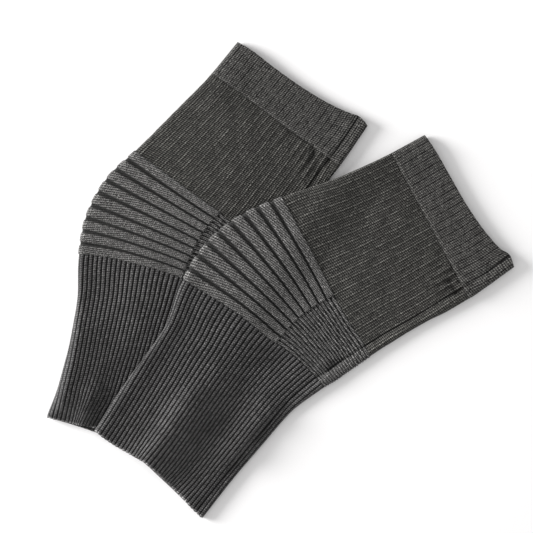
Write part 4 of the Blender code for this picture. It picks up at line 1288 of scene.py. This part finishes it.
# %% [markdown]
# ## The band
# The band is knitted twice as long, folded over and closed with a chain of stitches, which shows as a broken
# pale line. It has three fine wales for each repeat of the thigh, and a dark line between one repeat and
# the next. Its two layers could be two shells, but only their thickness and the round fold show, so one
# thicker shell with a rounded rim stands for both.

# %% Band
BAND_WALES = 3              # fine wales for each repeat
BAND_RIB_RISE = 0.45
WALE_DEPTH = 0.5            # of the grooves between wales, as a part of the rise
WALE_UNEVEN = 0.3
DARK_LINE_DEPTH = 1.4
DARK_LINE_WIDTH = 0.075
DARK_LINE_UNEVEN = 0.35
BAND_ROW = 1.0
CHAIN_RISE = 0.5
CHAIN_HALF_WIDTH = 1.1
CHAIN_LINKS = 2             # for each repeat
LINK_SLANT = 0.4
CHAIN_LIGHT = 0.5           # how much lighter the chain is than the knit beside it
FOLD_EASE = 0.9             # the rim rounds over within this length of the fold
FOLD_ROWS = (0.0, 0.1, 0.25, 0.5)
BAND_SAMPLES = tuple(k / 16 for k in range(16))


def make_band(lie):
    """The folded band of one warmer."""
    places = count_places(-4, 22, REPEATS, BAND_SAMPLES, (0.0, 0.25, 0.5, 0.75))
    rows = np.linspace(FOLD_EASE, BAND_END, int((BAND_END - FOLD_EASE) / BAND_ROW) + 1)
    along = np.concatenate([FOLD_ROWS, rows])
    arc = knit_distances(lie, along, places, REPEAT_COLUMNS, lie.repeats, REPEATS, BAND_WALL)
    where = Round(lie, along[:, None], arc, BAND_WALL)
    from_line = np.minimum(places % 1.0, 1.0 - places % 1.0)
    grooves = 0.5 + 0.5 * np.cos(2 * math.pi * BAND_WALES * places)
    round_it = places * REPEAT_SPACING
    strength = 1.0 + WALE_UNEVEN * ripple(where.along, round_it, length=12.0, seed=51)
    breaks = 1.0 + DARK_LINE_UNEVEN * ripple(where.along, round_it, length=5.0, seed=52)
    line = np.exp(-(from_line / DARK_LINE_WIDTH) ** 2) * breaks
    shape = 1.0 - np.clip(np.maximum(WALE_DEPTH * grooves, DARK_LINE_DEPTH * line) * strength, 0.0, 1.0)
    from_chain = (where.along - BAND_END + CHAIN_HALF_WIDTH) / CHAIN_HALF_WIDTH
    chain = np.sqrt(np.clip(1.0 - from_chain ** 2, 0.0, 1.0))
    links = 0.5 + 0.5 * np.cos(2 * math.pi * (CHAIN_LINKS * places + LINK_SLANT * from_chain))
    crease, dark = crease_relief(where)
    chain_relief = CHAIN_RISE * chain * links * (where.up > UNDERSIDE)
    rounding = 1.0 - np.sqrt(1.0 - (1.0 - np.clip(where.along / FOLD_EASE, 0.0, 1.0)) ** 2)
    squash = rounding * FOLD_EASE / (thickness(BAND_WALL) / 2)
    relief = BAND_RIB_RISE * shape * (1.0 - chain) + chain_relief + crease
    outer = where.lay(relief, BAND_RIB_RISE, squash=squash)
    # Painted shade in the wale grooves, the dark lines between repeats and the crease, and the chain painted
    # lighter.
    painted_shade = np.clip((1.0 - shape) * (1.0 - chain) + dark, -1.0, 1.0) - CHAIN_LIGHT * chain * links
    return knit_shell(f"{lie.name}_band_knit", where, outer, places, painted_shade, BAND_KNIT, REPEATS)


print(BAND_WALES * REPEATS, "wales and", CHAIN_LINKS * REPEATS, "links of the chain round the band")

# %% [markdown]
# ## Dressing the model
# Each piece stands for its solid and rides on the one body. Each is a sheet of cloth too, so its cut is
# stated: all round the tube at the middle of the piece, and its length. One table names each piece's maker,
# slot and ends, so that a loop dresses both warmers alike.

# %% Dress both warmers
MAKERS = {
    "band": (make_band, "band_knit", 0.0, BAND_END),
    "thigh": (make_thigh, "thigh_knit", BAND_END, PANEL_START),
    "knee_ridges": (make_knee_ridges, "ridge_knit", PANEL_START, PANEL_END),
    "knee_back": (make_knee_back, "back_knit", PANEL_START, PANEL_END),
    "calf": (make_calf, "calf_knit", PANEL_END, HEM),
}


def side_length(lie, across, start, end):
    """The length of a line down the tube, between two distances along it."""
    x, y = lie.plan(np.linspace(start, end, 20), across)
    return float(np.hypot(np.diff(x), np.diff(y)).sum())


def flat_size(lie, zone, start, end):
    """How wide and long a piece was knitted, in metres: all round on a tube, both faces on a part of one."""
    middle = (start + end) / 2
    split = float(read(INNER_COLUMNS, INNER_ROWS, "split", middle))
    share, across = {"knee_ridges": (split, split / 2), "knee_back": (1 - split, (1 + split) / 2)}.get(
        zone, (1.0, 0.5))
    round_it = 2 * float(lie.width(middle)) * share
    return round_it * MM, side_length(lie, across, start, end) * MM


for lie in (lower, upper):
    for zone, (make, slot, start, end) in MAKERS.items():
        piece = make(lie)
        node = f"{lie.name}_{zone}"
        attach(piece, "root")
        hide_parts(node)
        size = flat_size(lie, zone, start, end)
        triangles = sum(len(face.vertices) - 2 for face in piece.data.polygons)
        print(f"{piece.name}: {triangles} triangles, cut {size[0] * 1000:.0f} x {size[1] * 1000:.0f} mm")
